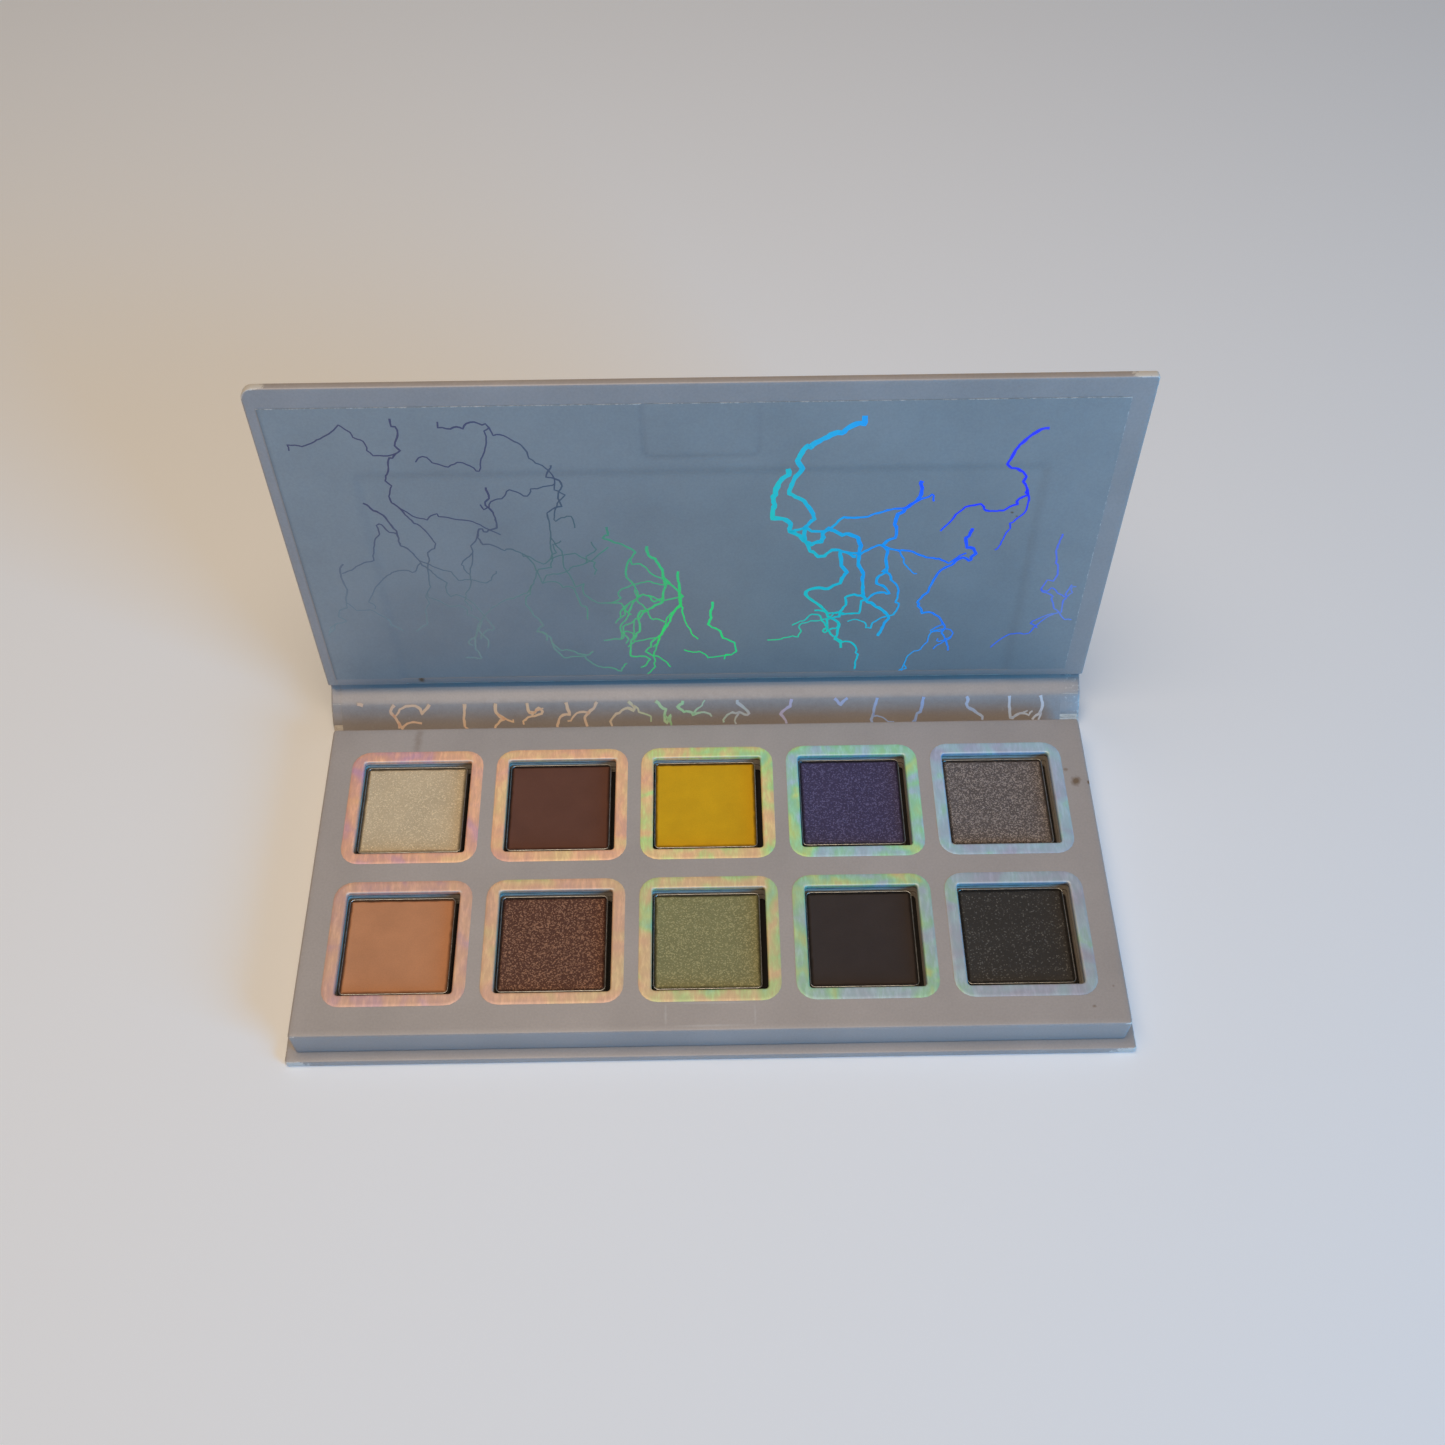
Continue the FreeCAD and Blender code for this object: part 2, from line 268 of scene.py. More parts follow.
# ---------------------------------------------------------------- from arrays to a piece
def patch(points, wrap=False, flat=None, wear=0.0, grime=0.0):
    """A grid of points, its columns joined end to end if wrap. A face looks along column step x row step.
    flat is where each point lies on its flat sheet. The other two layers say how worn it may be there, which on
    a foil frame is how strong a painted white glint is, and how much painted shade darkens it there."""
    shape = points.shape[:2]
    return {"points": points, "wrap": wrap, "flat": points if flat is None else flat,
            "wear": np.broadcast_to(wear, shape), "grime": np.broadcast_to(grime, shape)}


def turned(made):
    """The same patch, facing the other way."""
    return {key: value if key == "wrap" else value[:, ::-1] for key, value in made.items()}


def piece(name, patches, material, body=None, stands_for=(), thickness=0.0, sharp=50.0):
    """Makes one mesh of the patches: joins what meets, gives a sheet its thickness on the inner side, and
    marks the sharp edges. body is the body it rides on; if it is two bodies with the start and end of a bend
    between them, those are not used and the piece stays fixed where it is."""
    faces, start = [], 0
    for made in patches:
        rows, columns = made["points"].shape[:2]
        index = start + np.arange(rows * columns).reshape(rows, columns)
        start += rows * columns
        if made["wrap"]:
            index = np.hstack([index, index[:, :1]])
        corners = (index[:-1, :-1], index[:-1, 1:], index[1:, 1:], index[1:, :-1])
        faces.append(np.stack(corners, -1).reshape(-1, 4))
    mesh = bpy.data.meshes.new(name)
    vertices = np.concatenate([made["points"].reshape(-1, 3) for made in patches]) * MM
    mesh.from_pydata(vertices, [], np.concatenate(faces))
    for layer, kind, field in (("flat", "FLOAT_VECTOR", "vector"), ("wear", "FLOAT", "value"),
                               ("grime", "FLOAT", "value")):
        scale = MM if layer == "flat" else 1.0
        values = np.concatenate([made[layer].reshape(-1) for made in patches]) * scale
        mesh.attributes.new(layer, kind, "POINT").data.foreach_set(field, values.astype(np.float32))
    work = bmesh.new()
    work.from_mesh(mesh)
    bmesh.ops.remove_doubles(work, verts=work.verts, dist=2e-6)
    bmesh.ops.dissolve_degenerate(work, edges=work.edges, dist=1e-7)
    work.to_mesh(mesh)
    work.free()
    made = bpy.data.objects.new(name, mesh)
    bpy.context.scene.collection.objects.link(made)
    if thickness:
        wall = made.modifiers.new("Paper", "SOLIDIFY")
        wall.thickness, wall.offset = thickness * MM, -1
        evaluated = made.evaluated_get(bpy.context.evaluated_depsgraph_get())
        made.data = bpy.data.meshes.new_from_object(evaluated)
        made.data.name = name
        made.modifiers.clear()
        bpy.data.meshes.remove(mesh)
    made.data.shade_smooth()
    made.data.set_sharp_from_angle(angle=math.radians(sharp))
    made.data.materials.clear()
    made.data.materials.append(material)
    if isinstance(body, str):
        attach(made, body)
    else:
        first, second, bend_start, bend_end = body
        bend = [tuple(np.array(place) * MM) for place in (bend_start, bend_end)]
        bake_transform(made)
    if stands_for:
        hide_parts(*stands_for)
    return made


def band(line, x, thickness, flat_line, relief=None, grime=0.0):
    """A strip of paper: the section line (y, z) carried along x, thickened to its lower side, and closed at
    its ends. Its right-hand side, seen along the line from the low x end, is the face that shows."""
    step = np.gradient(line, axis=0)
    normal = np.stack([-step[:, 1], step[:, 0]], -1) / np.linalg.norm(step, axis=1)[:, None]
    lift = np.zeros((len(line), len(x))) if relief is None else relief
    top = line[:, None] + normal[:, None] * lift[..., None]
    low = top - normal[:, None] * thickness
    wide = np.broadcast_to(x, lift.shape)

    def grid(section):
        return np.concatenate([wide[..., None], section], -1)

    flat = np.stack([wide, np.broadcast_to(flat_line[:, None], lift.shape), 0 * lift], -1)
    # The painted shade given for each station of the line runs across the strip's whole width.
    stains_and_shade = np.broadcast_to(np.reshape(grime, (-1, 1)), lift.shape)
    loops = np.concatenate([grid(top), grid(low)[::-1]])
    flats, shade_loops = np.concatenate([flat, flat[::-1]]), np.concatenate([stains_and_shade, stains_and_shade[::-1]])
    around = patch(loops.swapaxes(0, 1), True, flats.swapaxes(0, 1), 0.0, shade_loops.swapaxes(0, 1))
    ends = []
    for column, face in ((0, 1), (-1, -1)):
        pair = np.stack([grid(top)[:, column], grid(low)[:, column]])[::face]
        ends.append(patch(pair, False, np.stack([flat[:, column]] * 2), 0.0, np.stack([stains_and_shade[:, column]] * 2)))
    return [turned(around), *ends]


def wrapped(outer, inner, x_edge, turn_in, edge_soft, flat_line, grime=0.0):
    """Cover paper round a strip that runs across the case: at each station of the lines outer and inner,
    (y, z) pairs, it comes from the end of one turn-in on the inner line, round the right edge to the outer
    line, across, and round the left edge to the other turn-in."""
    profile = edge_profile()
    inside, outside = np.linspace(x_edge - turn_in, x_edge - edge_soft, 7), np.linspace(-1, 1, 41)
    right = [(x, 1.0) for x in inside[:-1]]
    right += [(x_edge - edge_soft * inset, through) for inset, through in profile[::-1]]
    middle = [(x, 0.0) for x in outside[1:-1][::-1] * (x_edge - edge_soft)]
    left = [(-x, through) for x, through in right[::-1]]
    x, through = np.array(right + middle + left).T
    section = outer[:, None] * (1 - through)[None, :, None] + inner[:, None] * through[None, :, None]
    wide = np.broadcast_to(x, section.shape[:2])
    flat = np.stack([wide, np.broadcast_to(flat_line[:, None], wide.shape), 0 * wide], -1)
    wear = np.broadcast_to(np.maximum(smooth(np.abs(x), x_edge - 1.2, x_edge),
                                      0.9 * smooth(x, LINER_HIGH[0] - 0.3, LINER_HIGH[0] + 1.2)), wide.shape)
    # The painted shade given for each station runs across the whole width of the cover.
    return patch(np.concatenate([wide[..., None], section], -1), flat=flat, wear=wear,
                 grime=np.broadcast_to(np.reshape(grime, (-1, 1)), wide.shape))


def slab_cover(half_x, low, high, thick, radii, sizes, end_turn_in, seed):
    """Cover paper on a board that is free on three sides, in flat coordinates: the outer face is a grid that
    dips a little between its edges, and from its rim outlines step out to the edge, round it, and in over
    the inner face to the ends of the turn-ins. Returns its patches, facing out for a right-handed frame."""
    along_x, along_s = shares(64), shares(32)
    inset = 4.0
    x = np.linspace(inset - half_x, half_x - inset, len(along_x))
    s = np.linspace(low, high - inset, len(along_s))
    grid = np.stack(np.meshgrid(x[::-1], s), -1)
    fade = (smooth(half_x - np.abs(grid[..., 0]), inset, inset + 5) * smooth(grid[..., 1] - low, 0, 5)
            * smooth(high - grid[..., 1], inset, inset + 5))
    dip = sizes.wave * fade * (0.5 + 0.5 * lattice(grid[..., 0], grid[..., 1], 17.0, seed))
    patches = [patch(raised(grid, dip))]
    rows, wear = [], []

    def outline(inward, radius_cut, height, worn):
        corners = [max(r - radius_cut, 0) for r in radii]
        loop = ring((inward - half_x, half_x - inward), (low, high - inward), (corners[0], corners[1], 0, 0),
                    along_x, along_s, open_low=True)
        rows.append(raised(loop, height))
        wear.append(worn)

    outline(inset, max(radii), 0.0, 0.0)
    for inward, through in edge_profile():
        outline(sizes.edge_soft * inward, sizes.edge_soft * inward, thick * through, 1.0 - 0.6 * inward)
    outline(sizes.edge_soft + 1.0, sizes.edge_soft + 1.0, thick, 0.0)
    ends = ring((sizes.side_turn_in - half_x, half_x - sizes.side_turn_in), (low, high - end_turn_in), 0,
                along_x, along_s, open_low=True)
    rows.append(raised(ends, thick))
    wear.append(0.0)
    corner_worn = np.zeros(rows[0].shape[:1])
    for corner_x in (-half_x, half_x):
        reach = np.hypot(rows[3][:, 0] - corner_x, rows[3][:, 1] - high)
        corner_worn += 1 - smooth(reach, 2.0, 7.0)
    worn = np.clip(np.array(wear)[:, None] * (0.75 + 0.9 * corner_worn), 0, 1.6)
    patches.append(patch(np.stack(rows), wear=worn))
    return patches


def placed(patches, place):
    """The patches with their points put in the frame. Their flat coordinates stay as they were."""
    return [{**made, "points": place(made["points"])} for made in patches]


def rim(grid, open_low=False):
    """The border of a grid of points, counter-clockwise from the foot of its right column."""
    parts = [grid[:, -1], grid[-1, -2::-1], grid[-2::-1, 0]]
    return np.concatenate(parts if open_low else parts + [grid[0, 1:-1]])


# ---------------------------------------------------------------- material helpers
def add(tree, kind, inputs, out=0, stops=(), **settings):
    """Adds a node with its settings, its colour stops, and the values or links of its inputs, and gives the
    output socket asked for."""
    node = tree.nodes.new("ShaderNode" + kind)
    for key, value in settings.items():
        setattr(node, key, value)
    for position, shade in stops[2:]:
        node.color_ramp.elements.new(position)
    for k, (position, shade) in enumerate(stops):
        node.color_ramp.elements[k].position, node.color_ramp.elements[k].color = position, shade
    for key, value in inputs.items():
        if isinstance(value, bpy.types.NodeSocket):
            tree.links.new(value, node.inputs[key])
        else:
            node.inputs[key].default_value = value
    return node.outputs[out] if len(node.outputs) else None


def empty_tree(name):
    """The node tree of a new material, with nothing in it."""
    material = bpy.data.materials.new(name)
    material.use_nodes = True
    material.node_tree.nodes.clear()
    return material, material.node_tree


def finished(material, inputs):
    """Ends a material's tree in a Principled shader with these inputs."""
    surface = add(material.node_tree, "BsdfPrincipled", inputs)
    add(material.node_tree, "OutputMaterial", {"Surface": surface})
    return material


def coats(tree, base, *layers):
    """The base under its coats: each is how much of it shows, its colour, and how it mixes with those below."""
    for share, shade, *blend in layers:
        base = add(tree, "Mix", {0: share, 6: base, 7: shade}, 2, data_type="RGBA",
                   blend_type=(blend or ["MIX"])[0])
    return base


def shaded(tree, noise, *stops):
    """Greys from a noise: each stop is a place on the noise and how bright it is there."""
    greys = [(place, (value, value, value, 1)) for place, value in stops]
    return add(tree, "ValToRGB", {0: noise}, stops=greys)


def per_mm(size):
    """A noise scale, per metre, whose features are size millimetres across."""
    return 1.0 / (size * MM)


def patches_of(tree, where, spots):
    """A mask of soft-edged, ragged ovals: each spot is its middle, its two radii in millimetres and its
    strength, which falls off with the distance in radii, roughened by noise. The mask takes the largest."""
    rough = add(tree, "TexNoise", {"Vector": where, "Scale": per_mm(1.6), "Detail": 4.0})
    mask = None
    for (x, s), (wide, high), strength in spots:
        local = add(tree, "Mapping", {"Vector": where, "Location": (-x / wide, -s / high, 0),
                                      "Scale": (1 / (wide * MM), 1 / (high * MM), 0)})
        reach = add(tree, "VectorMath", {0: local}, "Value", operation="LENGTH")
        ragged = add(tree, "Math", {0: rough, 1: 1.3, 2: reach}, operation="MULTIPLY_ADD")
        spot = add(tree, "MapRange", {"Value": ragged, "From Min": 1.6, "From Max": 0.9, "To Max": strength})
        mask = add(tree, "Math", {0: mask, 1: spot}, operation="MAXIMUM") if mask else spot
    return mask


def stored(tree, name, out="Fac"):
    """What a piece's mesh holds at each point: flat, its place on the flat sheet; how worn it is there, which
    on a foil frame is a painted glint; or how much painted shade darkens it.
    """
    return add(tree, "Attribute", {}, out, attribute_name=name)


def paper(name, tone, stains_and_shade=(), rubbed=()):
    """Pearl-coated wrapping paper, pasted over board: an even satin tone with slow mottling where paste
    and fingers have darkened it, a fine fibre grain, white fibres where folds are rubbed, and the brown marks
    and rubbed places given. The brown marks are stains, except a broad one on the spine's strip, which is a
    painted warm shade. A blue-black painted shade darkens creases, dents and gaps as much as each point asks."""
    material, tree = empty_tree(name)
    where = stored(tree, "flat", "Vector")
    cloud = add(tree, "TexNoise", {"Vector": where, "Scale": per_mm(26), "Detail": 5.0, "Roughness": 0.6})
    fleck = add(tree, "TexNoise", {"Vector": where, "Scale": per_mm(0.5), "Detail": 3.0})
    tear = add(tree, "TexNoise", {"Vector": where, "Scale": per_mm(1.3), "Detail": 6.0, "Roughness": 0.7})
    torn = add(tree, "Math", {0: tear, 1: stored(tree, "wear")}, operation="MULTIPLY")
    marks = [(patches_of(tree, where, spots), linear(shade)) for spots, shade in
             ((rubbed, "C9C6C4"), (stains_and_shade, "6E5230")) if spots]
    base = coats(tree, tone, (1.0, shaded(tree, cloud, (0.3, 0.86), (0.7, 1.0)), "MULTIPLY"),
                 (1.0, shaded(tree, fleck, (0.35, 0.93), (0.65, 1.0)), "MULTIPLY"), *marks,
                 # A blue-black painted shade, as strong as each point of the mesh asks, darkens creases, dents
                 # and gaps.
                 (stored(tree, "grime"), linear("3A4250")),
                 (add(tree, "MapRange", {"Value": torn, "From Min": 0.50, "From Max": 0.60}), linear("D8D2CA")))
    bump = add(tree, "Bump", {"Height": fleck, "Strength": 0.25, "Distance": 0.02 * MM})
    return finished(material, {"Base Color": base, "Normal": bump, "Metallic": 0.12, "Roughness": 0.46})


def board_material(tone):
    """Greyboard: pulp in thin layers, dull and absorbent. The layers show as fine level lines on its cut
    edges, and the tray's boards meet in dark seams."""
    material, tree = empty_tree("die_cut_greyboard")
    where = add(tree, "TexCoord", {}, "Object")
    layers = add(tree, "Mapping", {"Vector": where, "Scale": (1, 1, 9)})
    plies = add(tree, "TexNoise", {"Vector": layers, "Scale": per_mm(2.2), "Detail": 6.0, "Roughness": 0.7})
    tones = add(tree, "ValToRGB", {0: plies},
                stops=[(0.28, linear("8E8277")), (0.50, tone), (0.75, linear("E4DACC"))])
    height = add(tree, "SeparateXYZ", {0: where}, "Z")
    seams = [box_mm(f"tray_window_board_{layer}")[0][2] * MM for layer in ("lower", "upper", "top")]
    base = coats(tree, tones, *((add(tree, "Math", {0: height, 1: seam, 2: 0.10 * MM}, operation="COMPARE"),
                                 linear("1E1916")) for seam in seams))
    bump = add(tree, "Bump", {"Height": plies, "Strength": 0.6, "Distance": 0.05 * MM})
    return finished(material, {"Base Color": base, "Normal": bump, "Roughness": 0.9})


def frame_foil():
    """Hot-stamped holographic foil, pressed flat on the paper: a thin metal film whose grating throws soft
    rainbow patches, little brighter than the paper. Their hue turns with the angle to the light; here that
    reflection is painted by place, running from pink and peach at the left of the tray over yellow-green to
    cyan and pale grey at the right, a little back again from the left to the right side of every frame, and
    duller in the front row. The rolled inner edge carries a thin painted white glint."""
    material, tree = empty_tree("stamped_rainbow_foil")
    where = add(tree, "TexCoord", {}, "Object")
    brushed = add(tree, "Mapping", {"Vector": where, "Rotation": (0, 0, 0.6), "Scale": (1, 0.25, 0.6)})
    fine = add(tree, "TexNoise", {"Vector": brushed, "Scale": per_mm(0.8), "Detail": 4.0, "Roughness": 0.6})
    broad = add(tree, "TexNoise", {"Vector": where, "Scale": per_mm(8), "Detail": 1.5, "Distortion": 0.8})
    # The rainbow is a painted reflection, set by place: by x across the tray, by noise, and by the place within
    # each frame.
    inside = add(tree, "SeparateXYZ", {0: stored(tree, "flat", "Vector")}, "X")
    hue = add(tree, "MapRange", {"Value": add(tree, "SeparateXYZ", {0: where}, "X"), "From Min": -0.094,
                                 "From Max": 0.094, "To Min": -0.28, "To Max": 0.42})
    for value, share in ((broad, 0.52), (fine, 0.12), (inside, -3.0)):
        hue = add(tree, "Math", {0: value, 1: share, 2: hue}, operation="MULTIPLY_ADD")
    places = (0.00, 0.11, 0.24, 0.36, 0.44, 0.51, 0.60, 0.74, 1.00)
    tones = ("DCA8BC", "EFB4A0", "FFC49A", "FAD79A", "CFEA96", "A6E3B4", "B4D2DC", "B6BAD0", "B3B1B8")
    hues = add(tree, "ValToRGB", {0: hue}, stops=list(zip(places, map(linear, tones))))
    paler = add(tree, "MapRange", {"Value": add(tree, "SeparateXYZ", {0: where}, "Y"), "From Min": 0.004,
                                   "From Max": -0.006, "To Max": 0.30})
    glare = shaded(tree, fine, (0.32, 0.86), (0.5, 0.93), (0.66, 1.08))
    # The front row is painted paler, and the layer that holds a paper's worn places here holds a painted white
    # glint.
    base = coats(tree, hues, (paler, linear("B0A494")), (1.0, glare, "MULTIPLY"),
                 (stored(tree, "wear"), linear("E6E4E0")))
    return finished(material, {"Base Color": base, "Metallic": 0.15, "Roughness": 0.42})


def line_foil(name, low, high, flash):
    """The same foil stamped as thin lines, its rainbow a painted reflection set by place: dull mauve at the
    left, green near the middle, then cyan and deep blue, and pale at the far right. low and high are the
    colours at the foot and the top. A grating sends one colour to the eye far brighter than plain paint would,
    which flash adds as a painted glow."""
    material, tree = empty_tree(name)
    where = stored(tree, "flat", "Vector")
    ripple = add(tree, "TexNoise", {"Vector": where, "Scale": per_mm(7), "Detail": 4.0})
    place = add(tree, "MapRange", {"Value": add(tree, "SeparateXYZ", {0: where}, "X"), "From Min": -0.094,
                                   "From Max": 0.094, "To Min": -0.06, "To Max": 0.94})
    shifted = add(tree, "Math", {0: ripple, 1: 0.12, 2: place}, operation="MULTIPLY_ADD")
    rise = add(tree, "MapRange", {"Value": add(tree, "SeparateXYZ", {0: where}, "Y"), "From Min": 0.018,
                                  "From Max": 0.06})
    feet, tops = (add(tree, "ValToRGB", {0: shifted}, stops=shades) for shades in (low, high))
    base = coats(tree, feet, (rise, tops))
    # Painted glow: the lines emit their own colour at the flash strength.
    return finished(material, {"Base Color": base, "Emission Color": base, "Emission Strength": flash,
                               "Metallic": 0.1, "Roughness": 0.35})


def metal(name, tone, roughness, scratch):
    """Drawn or ground sheet metal: a plain metal with fine rubbed lines that spread its glints."""
    material, tree = empty_tree(name)
    lines = add(tree, "Mapping", {"Vector": add(tree, "TexCoord", {}, "Object"), "Scale": (1, 1, 5)})
    rub = add(tree, "TexNoise", {"Vector": lines, "Scale": per_mm(scratch), "Detail": 5.0})
    base = coats(tree, linear(tone), (1.0, shaded(tree, rub, (0.3, 0.55), (0.7, 1.0)), "MULTIPLY"))
    return finished(material, {"Base Color": base, "Metallic": 1.0, "Roughness": roughness})


def pressed_powder(name, tone, flake=None, flakes=0.0):
    """Pressed powder: talc and pigment, packed dry, with a soft matte face. A shimmer shade carries mica
    flakes, each catching the light for itself. Flakes are drawn 0.26 mm across, coarser than real ones, so
    that they show. Where the cake's edge falls away to the tin, a near-black painted shade stands for the
    shadow in the gap."""
    material, tree = empty_tree(f"pressed_powder_{name}")
    where = add(tree, "TexCoord", {}, "Object")
    cloud = add(tree, "TexNoise", {"Vector": where, "Scale": per_mm(6), "Detail": 5.0})
    grain = add(tree, "TexNoise", {"Vector": where, "Scale": per_mm(0.35), "Detail": 3.0, "Roughness": 0.7})
    base = coats(tree, tone, (1.0, shaded(tree, cloud, (0.3, 0.88), (0.7, 1.0)), "MULTIPLY"),
                 (1.0, shaded(tree, grain, (0.35, 0.8 if flake else 0.92), (0.65, 1.0)), "MULTIPLY"))
    finish = {"Roughness": 0.6 if flake else 0.85, "Specular IOR Level": 0.3}
    if flake:
        cells = add(tree, "TexVoronoi", {"Vector": where, "Scale": per_mm(0.26)}, "Color")
        chance = add(tree, "SeparateColor", {0: cells})
        lit = add(tree, "MapRange", {"Value": chance, "From Min": 1 - flakes, "From Max": 1.05 - flakes * 0.5})
        base = coats(tree, base, (lit, flake))
        finish["Metallic"] = add(tree, "MapRange", {"Value": chance, "From Min": 1 - flakes, "From Max": 1.0,
                                                    "To Max": 0.45})
    # Painted shade, near black, where the cake falls away into the gap to the tin.
    gap_shade = coats(tree, base, (0.82, linear("120D0A")))
    bump = add(tree, "Bump", {"Height": grain, "Strength": 0.5, "Distance": 0.05 * MM})
    base = coats(tree, base, (stored(tree, "grime"), gap_shade))
    return finished(material, {"Base Color": base, "Normal": bump, **finish})


def glue_material(tone):
    """Hide glue, dried brown: glossy, slightly cloudy."""
    material, tree = empty_tree("dried_glue")
    where = add(tree, "TexCoord", {}, "Object")
    cloud = add(tree, "TexNoise", {"Vector": where, "Scale": per_mm(3), "Detail": 4.0})
    tones = add(tree, "ValToRGB", {0: cloud}, stops=[(0.3, linear("5E4427")), (0.7, tone)])
    return finished(material, {"Base Color": tones, "Roughness": 0.35})


def repaint(nodes, material):
    """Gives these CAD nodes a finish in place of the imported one."""
    for node in nodes:
        for place in frame["nodes"][node].material_slots:
            place.material = material


# ---------------------------------------------------------------- the case: covers, liners and paper hinges
def liner_t(x, s):
    """How far through the lid the liner's face lies: full thickness over the turn-ins, a paper's thickness
    lower between them, with a dent round the magnet and a slow wave that dies away towards its edges."""
    sizes = bpy.context.scene.palette_sizes
    half_open = HALF_CASE - sizes.side_turn_in
    inside = (smooth(half_open - np.abs(x), -1.3, 1.3)
              * smooth(LID_HIGH_S - sizes.end_turn_in - s, -1.3, 1.3))
    dent = magnet_outline(x, s)
    inset = LINER_HIGH[0] - np.abs(x - (LINER_LOW[0] + LINER_HIGH[0]) / 2)
    fade = smooth(inset, 0, 6) * smooth(LINER_HIGH[1] - s, 0, 6) * smooth(s - LID_LOW_S, 1.5, 6)
    wave = sizes.wave * fade * (1 - dent) * (lattice(x, s, 13.0, sizes.seed) - 0.8)
    return LEAF_THICK - TURN_IN_STEP * inside - 0.11 * dent + wave


def magnet_outline(x, s):
    """1 on the outline of the magnet under the liner, falling to 0 within a millimetre, and fainter along
    its upper and right sides."""
    low, high = MAGNET
    centre, half = (low[:2] + high[:2]) / 2, (high[:2] - low[:2]) / 2
    corner = 2.0
    reach = np.stack([np.abs(x - centre[0]) - half[0] + corner, np.abs(s - centre[1]) - half[1] + corner])
    away = np.hypot(*np.maximum(reach, 0)) + np.minimum(reach.max(0), 0) - corner
    strength = 0.45 + 0.35 * smooth(-x, -2, 8) + 0.3 * smooth(centre[1] - s, 0, half[1])
    return np.exp(-(away / 0.6) ** 2) * np.clip(strength, 0, 1)


def liner_shade(x, s):
    """How much painted shade darkens the liner's dents, along the ends of the turn-ins and round the magnet,
    and how dark a line runs along its left edge."""
    sizes = bpy.context.scene.palette_sizes
    side = np.abs(x) - (HALF_CASE - sizes.side_turn_in)
    end = s - (LID_HIGH_S - sizes.end_turn_in)
    ridges = np.maximum(np.exp(-(side / 1.1) ** 2) * (end < 0), np.exp(-(end / 1.1) ** 2) * (side < 0))
    marks = np.maximum(0.07 * ridges, 0.16 * magnet_outline(x, s))
    return np.maximum(marks, 0.30 * np.exp(-((x - LINER_LOW[0]) / 0.35) ** 2))


def strip_t(x):
    """How far below its full height the spine's liner lies: a paper's thickness between the turn-ins."""
    half_open = HALF_CASE - bpy.context.scene.palette_sizes.side_turn_in
    return -0.08 * smooth(half_open - np.abs(x), -1.2, 1.2)


def section(place, points):
    """The (y, z) of flat (s, t) points on a leaf."""
    points = np.array(points, float)
    flat = np.concatenate([np.zeros((len(points), 1)), points], 1)
    return place(flat)[:, 1:]


def path_length(line):
    steps = np.linalg.norm(np.diff(line, axis=0), axis=1)
    return np.concatenate([[0], np.cumsum(steps)])


def spine_inner_line(depth):
    """The (s, t) line of paper on the spine's inner face, depth below the liner's face: flat on the board,
    over its upper edge, and down its slope to the upper crease."""
    full = LEAF_THICK - depth
    low, high = SPINE_BOARD[0][1], SPINE_BOARD[1][1]
    return [(low, full), (low + 2.5, full), (high - 2.2, full), (high - 1.2, full - 0.02),
            (high - 0.3, full - 0.12), (high + 0.5, full - 0.38), (high + 1.4, full - 0.80),
            (high + 2.5, full - 1.34), (SPINE_SPAN[1][1], 0.45 - depth)]


def lid_foot_line(depth):
    """The (s, t) line of paper from the upper crease, over the lid board's lower edge, to the lid's face."""
    full = LEAF_THICK - depth
    low = LID_LOW_S
    return [(0.9, 0.42 - depth), (low - 0.9, 0.62 - depth), (low - 0.35, 1.2 - depth),
            (low, full - 0.45), (low + 0.5, full - 0.12), (low + 1.3, full - 0.02), (low + FACE_START, full)]


def base_rear_line(depth):
    """The (y, z) line of paper from the base's rear margin down into the lower crease and up to the spine."""
    top, rear = BASE_THICK + TURN_IN_STEP - depth, CASE_HIGH[1]
    low, full = SPINE_BOARD[0][1], LEAF_THICK - depth
    spine_foot = section(on_spine, [(low - 0.25, full - 1.0), (low, full)])
    return np.array([(TRAY_HIGH[1], top), (rear - 1.2, top), (rear - 0.3, top - 0.1), (rear + 0.25, top - 0.6),
                     (rear + 0.75, top - 0.95), *spine_foot.tolist()])


class PALETTE_OT_case_covers(bpy.types.Operator):
    """Cover paper on the base and the lid, wrapped round their boards and turned in"""
    bl_idname = "palette.case_covers"
    bl_label = "Case covers"

    def execute(self, context):
        sizes, tones = context.scene.palette_sizes, context.scene.palette_colours
        material = paper("pearl_cover_paper", tones.cover[:])
        lid = slab_cover(HALF_CASE, LID_LOW_S, LID_HIGH_S, LEAF_THICK - TURN_IN_STEP,
                         (sizes.corner, sizes.worn_corner), sizes, sizes.end_turn_in, sizes.seed + 1)
        piece("lid_cover", placed(lid, on_lid), material, "lid", ["lid_wrap"], sizes.paper)
        depth = CASE_HIGH[1] - CASE_LOW[1]
        base = slab_cover(HALF_CASE, 0, depth, BASE_THICK, (sizes.corner, sizes.corner), sizes,
                          sizes.side_turn_in, sizes.seed + 2)

        def on_base(points):
            return points * np.array([1, -1, 1]) + np.array([0, CASE_HIGH[1], 0])

        placed_base = [turned(made) for made in placed(base, on_base)]
        piece("base_cover", placed_base, material, "base", ["base_wrap"], sizes.paper)
        return {"FINISHED"}


